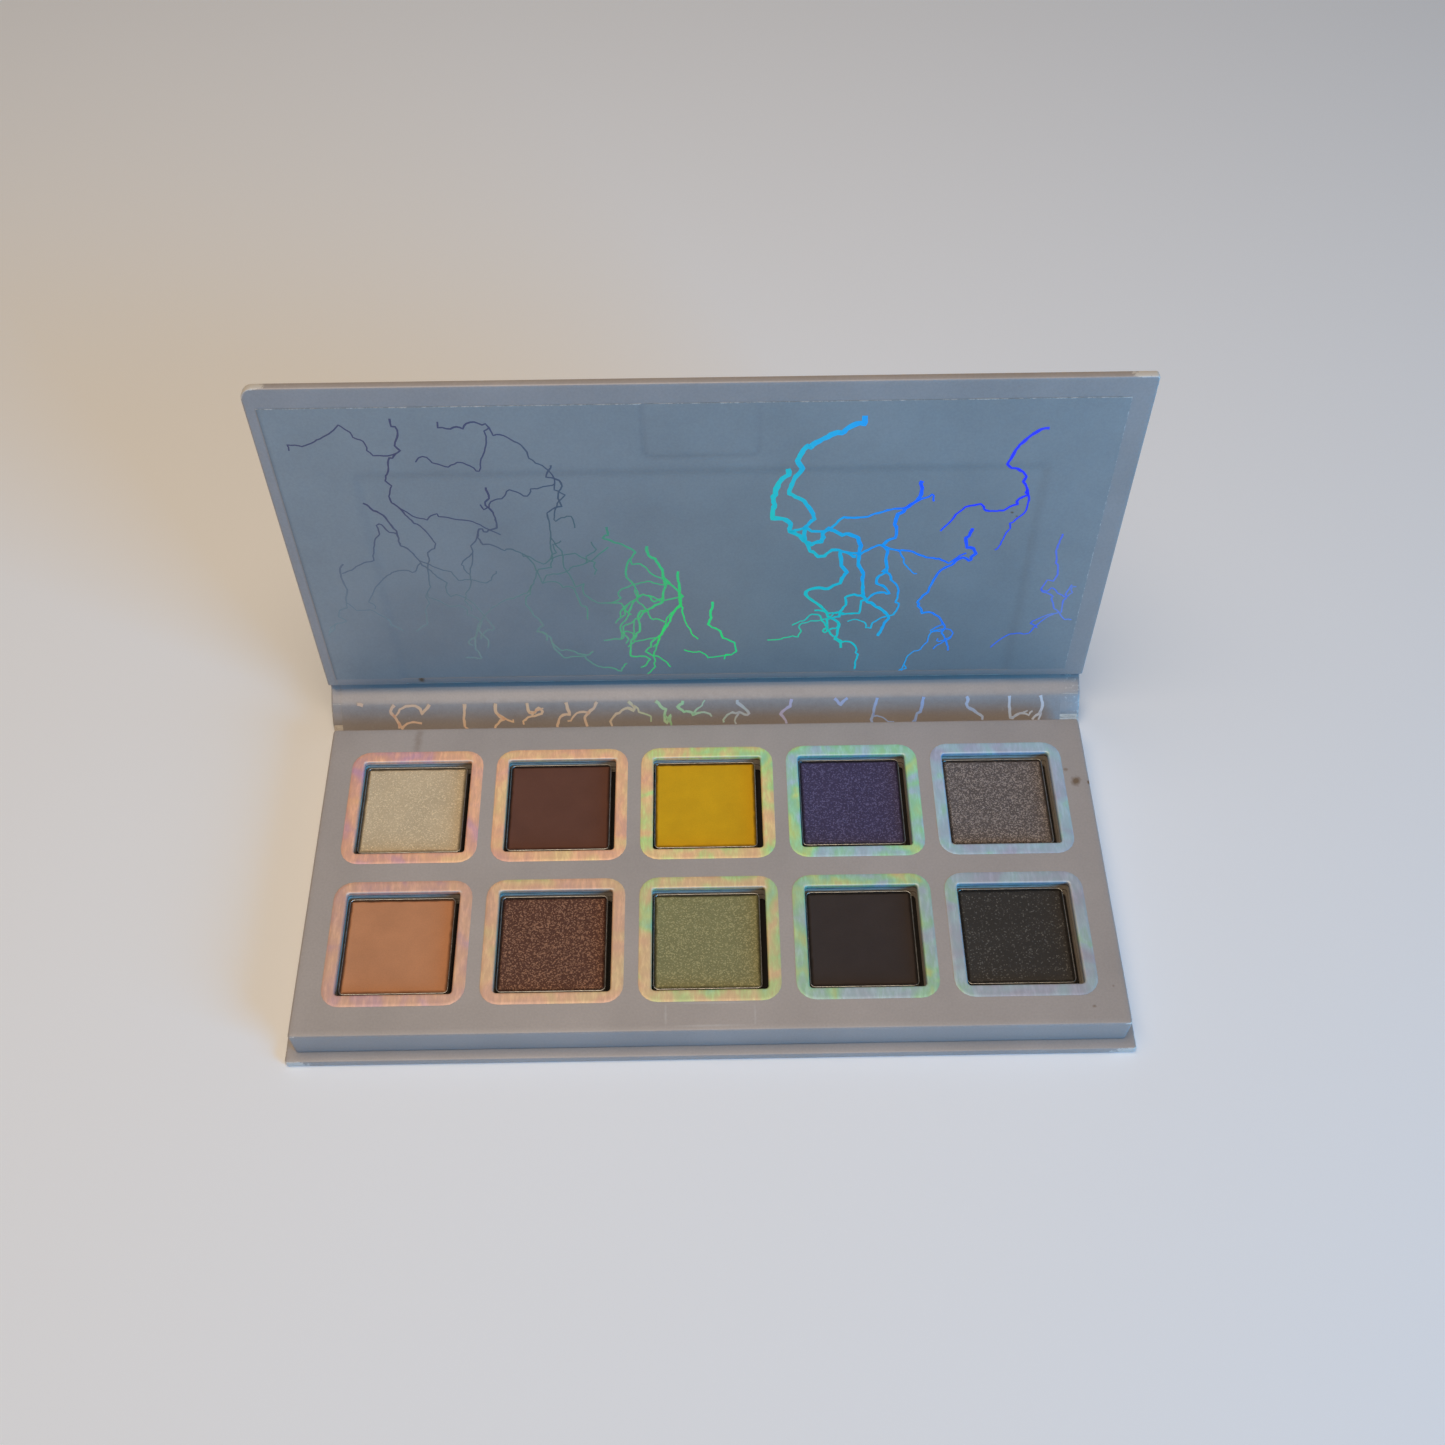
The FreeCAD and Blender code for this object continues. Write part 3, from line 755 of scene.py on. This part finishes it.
class PALETTE_OT_spine_papers(bpy.types.Operator):
    """Cover and liner of the spine, and the paper hinges that join it to the base and to the lid"""
    bl_idname = "palette.spine_papers"
    bl_label = "Spine and hinge papers"

    def execute(self, context):
        sizes, tones = context.scene.palette_sizes, context.scene.palette_colours
        cover = bpy.data.materials["pearl_cover_paper"]
        # Of the brown marks on the strip, the first, broad one is a painted warm shade over its lower part; the
        # second is a glue stain.
        strip = paper("pearl_liner_strip", tones.liner[:],
                      stains_and_shade=[((0, 2.5), (500, 8.0), 0.15), ((-72, 17.6), (1.1, 1.3), 0.85)])
        steps, liner_x = 8, np.linspace(LINER_LOW[0], LINER_HIGH[0], 121)
        paper_gap = TURN_IN_STEP

        outer = [(s, 0) for s in np.linspace(SPINE_SPAN[0][1], SPINE_SPAN[1][1], 7)]
        outer = curve(section(on_spine, outer), steps)
        low = SPINE_BOARD[0][1]
        inner_points = [(SPINE_SPAN[0][1], 0.5), *spine_inner_line(paper_gap)[1:]]
        inner = curve(section(on_spine, [(s, t) for s, t in inner_points]), steps)
        outer = outer[np.linspace(0, len(outer) - 1, len(inner)).round().astype(int)]
        piece("spine_cover", [wrapped(outer, inner, HALF_CASE, sizes.side_turn_in, sizes.edge_soft,
                                      path_length(outer))],
              cover, "spine", ["spine_wrap"], sizes.paper)

        line = curve(section(on_spine, spine_inner_line(0)), steps)
        lift = np.broadcast_to(strip_t(liner_x), (len(line), len(liner_x))).copy()
        lift += 0.02 * lattice(*np.meshgrid(liner_x, path_length(line)), 6.0, sizes.seed + 3)
        lift *= smooth(np.arange(len(line))[::-1, None], 0, 6)
        piece("spine_liner_sheet", band(line, liner_x, sizes.paper, low + path_length(line), lift),
              strip, "spine", ["spine_liner"])

        foot = curve(lid_foot_line(0), steps)
        line = np.concatenate([section(on_spine, spine_inner_line(0)[-1:]), section(on_lid, foot)])
        along = path_length(line)
        # Painted shade, with some soiling, darkens the bottom of the upper crease at the foot of the lid.
        dark = 0.9 * np.exp(-((along - 2.3) / 1.0) ** 2)
        start = [0, *section(on_spine, [(SPINE_SPAN[1][1], 0.3)])[0]]
        end = [0, *section(on_lid, [(LID_LOW_S - 0.6, 0.6)])[0]]
        piece("upper_hinge_liner", band(line, liner_x, sizes.paper, SPINE_SPAN[1][1] + along, grime=dark),
              strip, ("spine", "lid", start, end))
        outer = section(on_lid, [(s, 0) for s in np.linspace(0, LID_LOW_S, 9)])
        outer = np.concatenate([section(on_spine, [(SPINE_SPAN[1][1], 0)]), outer])
        foot = curve(lid_foot_line(paper_gap)[:4] + [(LID_LOW_S, LEAF_THICK - paper_gap)], 3)
        inner = np.concatenate([section(on_spine, spine_inner_line(paper_gap)[-1:]), section(on_lid, foot)])
        outer = outer[np.linspace(0, len(outer) - 1, len(inner)).round().astype(int)]
        along = path_length(inner)
        # Painted shade darkens the cover paper down in the upper crease.
        crease = 0.5 * np.exp(-((along - 1.5) / 0.8) ** 2)
        piece("upper_hinge_cover", [wrapped(outer, inner, HALF_CASE - 0.05, sizes.side_turn_in, sizes.edge_soft,
                                            along, grime=crease)],
              cover, ("spine", "lid", start, end), ["lid_crease_paper"], sizes.paper)

        line = curve(base_rear_line(0), steps)
        along = path_length(line)
        start = [0, CASE_HIGH[1] + 0.6, BASE_THICK * 0.5]
        end = [0, *section(on_spine, [(SPINE_SPAN[0][1], LEAF_THICK * 0.4)])[0]]
        # Painted shade darkens the liner from where it leaves the base's margin, down into the lower crease and
        # up to the spine.
        piece("lower_hinge_liner", band(line, liner_x, sizes.paper, along, grime=0.8 * smooth(along, 2.4, 4.0)),
              strip, ("base", "spine", start, end), ["base_liner"])
        inner = curve(base_rear_line(paper_gap)[2:6], steps)
        outer = np.concatenate([np.stack([np.linspace(CASE_HIGH[1] - 0.3, LOWER_FOLD[0], len(inner) - 1),
                                          np.zeros(len(inner) - 1)], -1),
                                section(on_spine, [(SPINE_SPAN[0][1], 0)])])
        # Painted shade darkens the whole of this cover, down in the lower crease.
        piece("lower_hinge_cover", [wrapped(outer, inner, HALF_CASE, sizes.side_turn_in, sizes.edge_soft,
                                            path_length(outer), grime=0.4)],
              cover, ("base", "spine", [0, LOWER_FOLD[0] - 0.8, 0], end),
              ["base_crease_paper"], sizes.paper)
        return {"FINISHED"}


class PALETTE_OT_lid_liner(bpy.types.Operator):
    """Liner paper inside the lid, showing the turn-ins and the magnet under it"""
    bl_idname = "palette.lid_liner"
    bl_label = "Lid liner"

    def execute(self, context):
        sizes, tones = context.scene.palette_sizes, context.scene.palette_colours
        # The lid's liner takes its own greyer, darker tone, a painted shade for the lid's cooler, dimmer light.
        material = paper("pearl_liner_paper", tones.lid_liner[:],
                         stains_and_shade=[((70.4, 56.5), (0.55, 0.45), 0.9), ((71.6, 55.4), (0.4, 0.35), 0.8)])
        x = np.linspace(LINER_LOW[0], LINER_HIGH[0], 241)
        s = np.linspace(LID_LOW_S + FACE_START, LINER_HIGH[1], 121)
        wide, along = np.meshgrid(x, s)
        flat = np.stack([wide, along, liner_t(wide, along)], -1)
        worn = np.maximum(smooth(along, s[-1] - 0.9, s[-1]), smooth(wide, x[-1] - 0.8, x[-1]))
        # The sheet's painted shade comes from liner_shade: its dents, and a dark line at its left edge.
        sheet = patch(on_lid(flat), flat=flat, wear=worn * 1.1, grime=liner_shade(wide, along))
        piece("lid_liner_sheet", [sheet], material, "lid", ["lid_liner"], sizes.paper)
        return {"FINISHED"}


# ---------------------------------------------------------------- the tray
def tray_cells():
    """Each window's name and middle, half the width of its foil band, half its clear opening, and the
    heights of its lip's foot and its foil's face. The foil's lowest points are on the lip's outer side."""
    for name in PAN_NAMES:
        points = vertices_mm(f"foil_frame_{name}")
        low, high = points.min(0), points.max(0)
        middle = (low[:2] + high[:2]) / 2
        lip = points[points[:, 2] < low[2] + 0.01]
        opening = np.abs(lip[:, 0] - middle[0]).max() - (high[2] - TRAY_HIGH[2])
        yield name, middle, (high[0] - low[0]) / 2, opening, low[2], high[2]


class PALETTE_OT_tray_cover(bpy.types.Operator):
    """Cover paper over the tray, rolled down into its ten windows and turned under its foot"""
    bl_idname = "palette.tray_cover"
    bl_label = "Tray cover"

    def execute(self, context):
        sizes, tones = context.scene.palette_sizes, context.scene.palette_colours
        top = TRAY_HIGH[2]
        cells = list(tray_cells())
        middles = np.array([middle for _, middle, *_ in cells])
        _, _, _, opening, lip_low, foil_top = cells[0]
        pitch = np.array([middles[1][0] - middles[0][0], middles[0][1] - middles[5][1]])
        window = opening + foil_top - top
        centre = middles.mean(0)
        per_cell = shares(24)
        roll = sizes.window_roll
        patches = []

        def top_height(points):
            dip = 0.5 + 0.5 * lattice(points[..., 0], points[..., 1], 12.0, sizes.seed + 5)
            return top - sizes.wave * dip

        for middle in middles:
            def hole(grow, depth):
                half = window + grow
                return raised(square(middle, half, sizes.window_corner + grow, per_cell), top - depth)

            rows = [hole(0.0, top - lip_low)]
            for angle in QUARTER:
                rows.append(hole(roll * (1 - math.cos(angle)), roll * (1 - math.sin(angle))))
            outer = square(middle, pitch / 2, 0, per_cell)
            for part in (0.25, 0.5, 0.75, 1.0):
                flat_ring = rows[6][:, :2] * (1 - part) + outer * part
                away = smooth(part, 0, 0.3)
                rows.append(raised(flat_ring, top * (1 - away) + top_height(flat_ring) * away))
            patches.append(turned(patch(np.stack(rows), True)))

        block = np.array([5, 2]) * pitch / 2
        all_x = np.unique(np.concatenate([(k + per_cell) / 5 for k in range(5)]).round(9))
        all_y = np.unique(np.concatenate([(k + per_cell) / 2 for k in range(2)]).round(9))
        low, high = TRAY_LOW[:2], TRAY_HIGH[:2]
        first = ring((centre[0] - block[0], centre[0] + block[0]), (centre[1] - block[1], centre[1] + block[1]),
                     0, all_x, all_y)
        rows, wear = [raised(first, top_height(first))], [0.0]

        def outline(inward, corner, height, worn):
            loop = ring((low[0] + inward, high[0] - inward), (low[1] + inward, high[1] - inward),
                        max(corner - inward, 0), all_x, all_y)
            rows.append(raised(loop, height))
            wear.append(worn)

        outline(1.6, sizes.corner, top, 0.0)
        tall = top - TRAY_LOW[2]
        for angle in QUARTER:
            outline(sizes.edge_soft * (1 - math.sin(angle)), sizes.corner,
                    top - sizes.edge_soft * (1 - math.cos(angle)), math.sin(2 * angle) * 0.8)
        for part in np.linspace(0.15, 0.85, 5):
            outline(0.0, sizes.corner, top - tall * part, 0.0)
        for angle in np.linspace(0, math.pi / 2, 5):
            outline(sizes.edge_soft * (1 - math.cos(angle)), sizes.corner,
                    TRAY_LOW[2] + sizes.edge_soft * (1 - math.sin(angle)), 0.5)
        outline(10.0, 0.0, TRAY_LOW[2], 0.0)
        stacked = np.stack(rows)
        reach = np.zeros(stacked.shape[1])
        for corner_x in (low[0], high[0]):
            for corner_y in (low[1], high[1]):
                away = np.hypot(stacked[5, :, 0] - corner_x, stacked[5, :, 1] - corner_y)
                reach += 1 - smooth(away, 0.8, 3.5)
        worn = np.array(wear)[:, None] * (0.85 + 0.8 * reach)
        patches.append(turned(patch(stacked, True, wear=worn)))
        stains_and_shade = [((-72.3, 38.0), (1.6, 5.0), 0.32), ((90.6, 23.0), (1.5, 2.1), 0.8),
                ((93.7, 22.6), (0.5, 0.8), 1.0), ((88.6, 26.4), (0.8, 0.6), 0.5),
                ((86.0, -38.0), (0.7, 0.5), 0.6), ((91.0, -33.0), (0.5, 0.5), 0.5)]
        plate, line = (10, 2.8), 0.35
        rubbed = [((0, -38.4 + plate[1] * side), (10.5, line), 0.35) for side in (1, -1)]
        rubbed += [((plate[0] * side, -38.4), (line, 3.2), 0.35) for side in (-1, 1)]
        material = paper("pearl_tray_paper", tones.cover[:], stains_and_shade=stains_and_shade, rubbed=rubbed)
        piece("tray_cover", patches, material, "base", ["tray_wrap"], sizes.paper)
        return {"FINISHED"}


class PALETTE_OT_foil_frames(bpy.types.Operator):
    """Stamped foil round each window, its inner edge rolled down with the paper"""
    bl_idname = "palette.foil_frames"
    bl_label = "Foil frames"

    def execute(self, context):
        sizes = context.scene.palette_sizes
        material = frame_foil()
        top = TRAY_HIGH[2]
        side = shares(28)
        for name, middle, half_out, window, lip_low, foil_top in tray_cells():
            foil = foil_top - top
            roll = sizes.window_roll

            def loop(half, corner, height):
                return raised(square(middle, half, corner, side), height)

            rows = [loop(half_out - 0.02, sizes.foil_corner, top),
                    loop(half_out, sizes.foil_corner, top + foil * 0.6),
                    loop(half_out - 0.05, sizes.foil_corner - 0.05, foil_top)]
            inner = window + roll + foil
            for part in (0.3, 0.6, 0.85, 1.0):
                half = half_out - 0.05 + (inner - half_out + 0.05) * part
                corner = sizes.foil_corner + (sizes.window_corner + roll + foil - sizes.foil_corner) * part
                rows.append(loop(half, corner, foil_top))
            for radius, angles in ((roll + foil, QUARTER[1:]), (roll, QUARTER[::-1])):
                corner = sizes.window_corner + roll + foil
                arcs = [loop(inner - radius * math.sin(angle), corner - radius * math.sin(angle),
                             top - roll + radius * math.cos(angle)) for angle in angles]
                if radius > roll:
                    rows += arcs + [loop(window, sizes.window_corner, lip_low)]
                else:
                    rows += [loop(window + foil, sizes.window_corner + foil, lip_low)] + arcs
            rows = np.stack([*rows, rows[0]])
            flat = rows - np.array([*middle, 0])
            # A painted white glint along the top of the rolled inner edge, on each window's rear side only.
            high = rows[..., 2] > foil_top - 0.5 * roll
            glint = high * np.exp(-((np.abs(flat[..., :2]).max(-1) - window - 0.3 * roll) / 0.14) ** 2)
            glint = glint * smooth(flat[..., 1], window - 2.0, window)
            foil_band = patch(rows, True, flat, wear=0.55 * glint)
            piece(f"foil_band_{name}", [foil_band], material, "base", [f"foil_frame_{name}"])
        return {"FINISHED"}


class PALETTE_OT_pans(bpy.types.Operator):
    """The tin pans: thin drawn walls with a rounded rim, and a flat floor"""
    bl_idname = "palette.pans"
    bl_label = "Tin pans"

    def execute(self, context):
        sizes = context.scene.palette_sizes
        material = metal("drawn_tinplate", "C6C2BC", 0.3, 0.9)
        side, wall = shares(16), 0.25
        for name in PAN_NAMES:
            low, high = box_mm(f"pan_{name}")
            middle, half = (low + high) / 2, (high[0] - low[0]) / 2

            def loop(inward, height):
                corner = max(sizes.pan_corner - inward, 0.0)
                return raised(square(middle, half - inward, corner, side), height)

            foot = [(half, low[2]), (0.5, low[2]), (0.15, low[2] + 0.1), (0.0, low[2] + 0.4)]
            lip = [(wall / 2 * (1 - math.cos(a)), high[2] - wall / 2 * (1 - math.sin(a)))
                   for a in np.linspace(0, math.pi, 9)]
            hollow = [(wall, low[2] + 0.6), (wall + 0.2, low[2] + wall + 0.05), (wall + 0.6, low[2] + wall),
                      (half, low[2] + wall)]
            rows = np.stack([loop(inward, height) for inward, height in foot + lip + hollow])
            piece(f"tin_pan_{name}", [patch(rows, True)], material, "base", [f"pan_{name}"])
        return {"FINISHED"}


class PALETTE_OT_powders(bpy.types.Operator):
    """The pressed powders, each with a faintly uneven face and an edge that falls away to the tin"""
    bl_idname = "palette.powders"
    bl_label = "Pressed powders"

    def execute(self, context):
        sizes, tones = context.scene.palette_sizes, context.scene.palette_colours
        flakes = {"cream": ("E6D4B4", 0.25), "indigo": ("6A6389", 0.32), "taupe": ("A1958F", 0.42),
                  "bronze": ("9D745D", 0.38), "olive": ("ABA579", 0.34), "charcoal": ("6A6661", 0.14)}
        u = np.linspace(-1, 1, 101)
        u = np.sign(u) * (1 - (1 - np.abs(u)) ** 1.12)
        for number, name in enumerate(PAN_NAMES):
            shade = POWDERS[name]
            flake, share = flakes.get(shade, (None, 0.0))
            material = pressed_powder(shade, getattr(tones, shade)[:], flake and linear(flake), share)
            low, high = box_mm(f"powder_{name}")
            middle, half = (low + high) / 2, (high[0] - low[0]) / 2
            x, y = np.meshgrid(u * half, u * half)
            radius = sizes.pan_corner - 0.25
            past = np.stack([np.abs(x), np.abs(y)]) - (half - radius)
            in_corner = (past > 0).all(0)
            pull = np.where(in_corner, past.max(0) / np.maximum(np.hypot(*past), 1e-9), 1.0)
            x = np.where(in_corner, np.sign(x) * (half - radius + past[0] * pull), x)
            y = np.where(in_corner, np.sign(y) * (half - radius + past[1] * pull), y)
            edge = half - np.maximum(np.abs(x), np.abs(y))
            seed = sizes.seed + 20 + number
            ragged = edge + 0.10 * lattice(x, y, 1.7, seed) + 0.05 * lattice(x, y, 0.7, seed + 3)
            fallen = 1 - smooth(ragged, 0.05, 0.75)
            face = high[2] - 0.46 * fallen - 0.02
            face += 0.02 * lattice(x, y, 5.0, seed + 1) + 0.012 * lattice(x, y, 0.8, seed + 2)
            face = np.minimum(face, high[2])
            points = np.stack([x + middle[0], y + middle[1], face], -1)
            border = rim(points)
            foot, core = border.copy(), border.copy()
            foot[:, 2] = low[2]
            core[:] = [middle[0], middle[1], low[2]]
            # The cake's fallen edge and its sides take that near-black painted shade.
            sides = patch(np.stack([core, foot, border]), True, grime=1.0)
            piece(f"pressed_powder_{name}", [patch(points, grime=fallen), sides], material,
                  "base", [f"powder_{name}"])
        return {"FINISHED"}


# ---------------------------------------------------------------- foil lines
def jagged_line(rng, start, heading, reach, width, sway):
    """A crooked line: steps of about a millimetre whose heading wanders and now and then kinks and comes
    back, tapering to a little over half its width. Gives (x, s) points, widths and headings."""
    count = max(int(reach / 0.8), 4)
    kinks = rng.normal(0, sway, count) * (rng.random(count) < 0.35)
    angle = heading + rng.normal(0, 0.13, count)
    turned_by = 0.0
    for k in range(count):
        turned_by = 0.84 * turned_by + kinks[k]
        angle[k] += turned_by
    steps = rng.uniform(0.6, 1.0, count)
    points = np.array(start) + np.cumsum(np.stack([np.cos(angle) * steps, np.sin(angle) * steps], -1), 0)
    points = np.concatenate([[start], points])
    widths = width * (1 - 0.42 * np.linspace(0, 1, len(points))) * rng.uniform(0.8, 1.15, len(points))
    return points, np.maximum(widths, 0.34), angle


def branching(rng, start, heading, reach, width, sway, twigs, depth):
    """A crooked line and its twigs, which leave it at random to either side and are thinner and shorter."""
    points, widths, angle = jagged_line(rng, start, heading, reach, width, sway)
    lines = [(points, widths)]
    if depth:
        for _ in range(twigs):
            at = int(rng.integers(len(angle) // 6, len(angle) - 2))
            turn = rng.choice([-1, 1]) * rng.uniform(0.35, 0.85)
            lines += branching(rng, points[at], angle[at] + turn, reach * rng.uniform(0.28, 0.55),
                               widths[at] * 0.8, sway, max(twigs // 2, 1), depth - 1)
    return lines


def ribbons(lines, low, high, height, place, lift):
    """A thin strip along each line, on the surface whose height t is a function of x and s. Points outside
    the limits are cut off."""
    made = []
    for points, widths in lines:
        keep = ((points > low) & (points < high)).all(1)
        stop = len(points) if keep.all() else int(np.argmin(keep))
        if stop < 3:
            continue
        points, widths = points[:stop], widths[:stop]
        fine = np.linspace(0, stop - 1, (stop - 1) * 2 + 1)
        index = np.arange(stop)
        x, s, w = (np.interp(fine, index, value) for value in (*points.T, widths))
        step = np.gradient(np.stack([x, s], -1), axis=0)
        across = np.stack([-step[:, 1], step[:, 0]], -1) / np.linalg.norm(step, axis=1)[:, None]
        sides = np.stack([np.stack([x, s], -1) + across * (w / 2)[:, None] * hand for hand in (1, -1)], 1)
        t = height(sides[..., 0], sides[..., 1]) + lift
        flat = raised(sides, t)
        made.append(patch(place(flat), flat=flat))
    return made


class PALETTE_OT_foil_lines(bpy.types.Operator):
    """Branching lines of stamped foil on the liner, inside the lid and down the spine"""
    bl_idname = "palette.foil_lines"
    bl_label = "Foil lines"

    def execute(self, context):
        sizes = context.scene.palette_sizes
        stops = (0.06, 0.24, 0.36, 0.47, 0.58, 0.70, 0.80, 0.90, 1.0)

        def shades(codes):
            return list(zip(stops, map(linear, codes.split())))

        material = line_foil("stamped_line_foil",
                             shades("7C8A8C 7E948C 6FA486 30E870 2CE08C 18C8D0 2890F0 3C6CE8 7A94C4"),
                             shades("484660 484A66 50606C 3CBC84 20C8C0 1894F0 1838FF 2838F0 6A80B4"), 0.30)
        down = -math.pi / 2
        trunks = [((-66, 85), down + 0.10, 58, 0.36, 3, 1), ((-56, 84), down - 0.12, 44, 0.34, 2, 1),
                  ((-76, 62), down + 0.15, 44, 0.38, 3, 1), ((-48, 66), down + 0.05, 50, 0.38, 3, 2),
                  ((-33, 72), down - 0.05, 52, 0.36, 3, 2), ((-84, 44), down + 0.25, 34, 0.40, 2, 1),
                  ((-22, 54), down + 0.05, 36, 0.44, 2, 1), ((-13, 48), down, 40, 0.54, 3, 2),
                  ((-6, 40), down + 0.05, 30, 0.52, 3, 1), ((2, 30), down - 0.05, 20, 0.50, 1, 1),
                  ((19, 70), down + 0.10, 62, 1.00, 2, 1), ((35, 84), down - 0.15, 50, 1.05, 1, 2),
                  ((32, 46), down + 0.10, 34, 0.80, 1, 1), ((49, 66), down + 0.05, 50, 0.72, 2, 1),
                  ((62, 52), down - 0.10, 42, 0.62, 2, 2), ((75, 80), down - 0.10, 40, 0.60, 1, 1),
                  ((83, 50), down - 0.20, 40, 0.38, 2, 1), ((88, 34), down - 0.30, 24, 0.34, 1, 1)]
        lines = []
        for number, (start, heading, reach, width, twigs, depth) in enumerate(trunks):
            rng = np.random.default_rng(sizes.seed + 100 + number)
            lines += branching(rng, start, heading, reach * 1.3, width * 1.3, 0.75, twigs, depth)
        inset = 1.2
        lid_lines = ribbons(lines, (LINER_LOW[0] + inset, LID_LOW_S + FACE_START),
                            (LINER_HIGH[0] - inset, LID_HIGH_S), liner_t, on_lid, 0.012)
        piece("foil_lines_lid", lid_lines, material, "lid", thickness=0.012)

        pale = shades("E0BCA0 E8C29C DDBFA6 A8D4A4 C8B8CC A9B8D8 9FB4DC C4CCD8 D0D2D8")
        strip = line_foil("stamped_strip_foil", pale, pale, 0.14)
        lines = []
        starts = (-88, -80, -71, -62, -54, -46, -36, -28, -20, -13, -6, 8, 22, 33, 44, 56, 67, 78, 86)
        for number, x in enumerate(starts):
            rng = np.random.default_rng(sizes.seed + 200 + number)
            lines += branching(rng, (x, SPINE_BOARD[1][1] - 0.4), down + rng.uniform(-0.9, 0.9), 14,
                               0.85, 1.0, 1, 1)
        full = LEAF_THICK
        spine_lines = ribbons(lines, (LINER_LOW[0] + inset, 1.2), (LINER_HIGH[0] - inset, SPINE_BOARD[1][1]),
                              lambda x, s: full + strip_t(x) + 0.03, on_spine, 0.012)
        piece("foil_lines_spine", spine_lines, strip, "spine", thickness=0.012)
        return {"FINISHED"}


class PALETTE_OT_boards(bpy.types.Operator):
    """Finishes of the carried-over parts: boards, glue, magnet and steel plate"""
    bl_idname = "palette.boards"
    bl_label = "Boards and metal"

    def execute(self, context):
        tones = context.scene.palette_colours
        boards = ["base_board", "tray_floor_board", "spine_board", "lid_board"]
        boards += [f"tray_window_board_{layer}" for layer in ("lower", "upper", "top")]
        repaint(boards, board_material(tones.board[:]))
        repaint(["tray_glue", "pan_glue_dots"], glue_material(tones.glue[:]))
        repaint(["tray_steel_plate"], metal("zinc_plated_steel", "A9ABAE", 0.38, 1.2))
        repaint(["lid_magnet"], metal("nickel_plated_magnet", "C8C6C0", 0.22, 0.6))
        return {"FINISHED"}


# ---------------------------------------------------------------- stage
class PALETTE_OT_stage(bpy.types.Operator):
    """A plain pale floor, soft studio lights and the camera"""
    bl_idname = "palette.stage"
    bl_label = "Stage, lights and camera"

    def execute(self, context):
        scene = context.scene
        plane = bpy.data.meshes.new("floor")
        reach = 3.0
        plane.from_pydata([(-reach, -reach, 0), (reach, -reach, 0), (reach, reach, 0), (-reach, reach, 0)], [],
                          [(0, 1, 2, 3)])
        floor = bpy.data.objects.new("floor", plane)
        scene.collection.objects.link(floor)
        material, _ = empty_tree("pale_floor")
        plane.materials.append(finished(material, {"Base Color": linear("F6F6F8"), "Roughness": 0.8}))

        def area(name, place, aim, size, power, tone):
            light = bpy.data.lights.new(name, "AREA")
            light.shape, light.size, light.size_y = "RECTANGLE", *size
            light.energy, light.color = power, linear(tone)[:3]
            lamp = bpy.data.objects.new(name, light)
            scene.collection.objects.link(lamp)
            lamp.location = place
            lamp.visible_camera = False
            turn = (np.array(aim) - np.array(place)).tolist()
            lamp.rotation_euler = Vector(turn).to_track_quat("-Z", "Y").to_euler()

        area("warm overhead", (-0.12, -0.10, 1.0), (0, 0, 0), (0.9, 0.7), 7.5, "FFEACE")
        area("blue front", (0.85, -0.70, 0.45), (0, 0, 0.75), (0.6, 0.6), 12.6, "30B4FF")
        world = bpy.data.worlds.new("studio")
        scene.world = world
        world.use_nodes = True
        world.node_tree.nodes["Background"].inputs["Color"].default_value = linear("E6E8EC")
        world.node_tree.nodes["Background"].inputs["Strength"].default_value = 0.06
        scene.view_settings.view_transform = "Standard"

        lens = bpy.data.cameras.new("camera")
        lens.lens, lens.sensor_width, lens.sensor_fit = 37.701, 36.0, "HORIZONTAL"
        lens.shift_x, lens.shift_y = 0.0018, 0.064
        lens.clip_start = 0.01
        camera = bpy.data.objects.new("camera", lens)
        scene.collection.objects.link(camera)
        camera.location = (0.00105, -0.18535, 0.31773)
        camera.rotation_euler = [math.radians(a) for a in (33.012, 0.244, -0.927)]
        scene.camera = camera
        return {"FINISHED"}


OPERATORS = (PALETTE_OT_stage, PALETTE_OT_case_covers, PALETTE_OT_spine_papers, PALETTE_OT_lid_liner,
             PALETTE_OT_tray_cover, PALETTE_OT_foil_frames, PALETTE_OT_pans, PALETTE_OT_powders,
             PALETTE_OT_foil_lines, PALETTE_OT_boards)


class PALETTE_PT_panel(bpy.types.Panel):
    """The palette's sizes, colours and pieces"""
    bl_idname = "PALETTE_PT_panel"
    bl_label = "Eyeshadow Palette"
    bl_space_type = "VIEW_3D"
    bl_region_type = "UI"
    bl_category = "Palette"

    def draw(self, context):
        for group in (context.scene.palette_sizes, context.scene.palette_colours):
            column = self.layout.column(align=True)
            for key in group.bl_rna.properties.keys():
                if key not in ("rna_type", "name"):
                    column.prop(group, key)
        for operator in OPERATORS:
            self.layout.operator(operator.bl_idname)


CLASSES = (PaletteSizes, PaletteColours, *OPERATORS, PALETTE_PT_panel)


def register():
    for made in CLASSES:
        bpy.utils.register_class(made)
    bpy.types.Scene.palette_sizes = PointerProperty(type=PaletteSizes)
    bpy.types.Scene.palette_colours = PointerProperty(type=PaletteColours)


def unregister():
    del bpy.types.Scene.palette_colours
    del bpy.types.Scene.palette_sizes
    for made in reversed(CLASSES):
        bpy.utils.unregister_class(made)


def main():
    register()
    for operator in OPERATORS:
        group, name = operator.bl_idname.split(".")
        getattr(getattr(bpy.ops, group), name)()


if __name__ == "__main__":
    main()
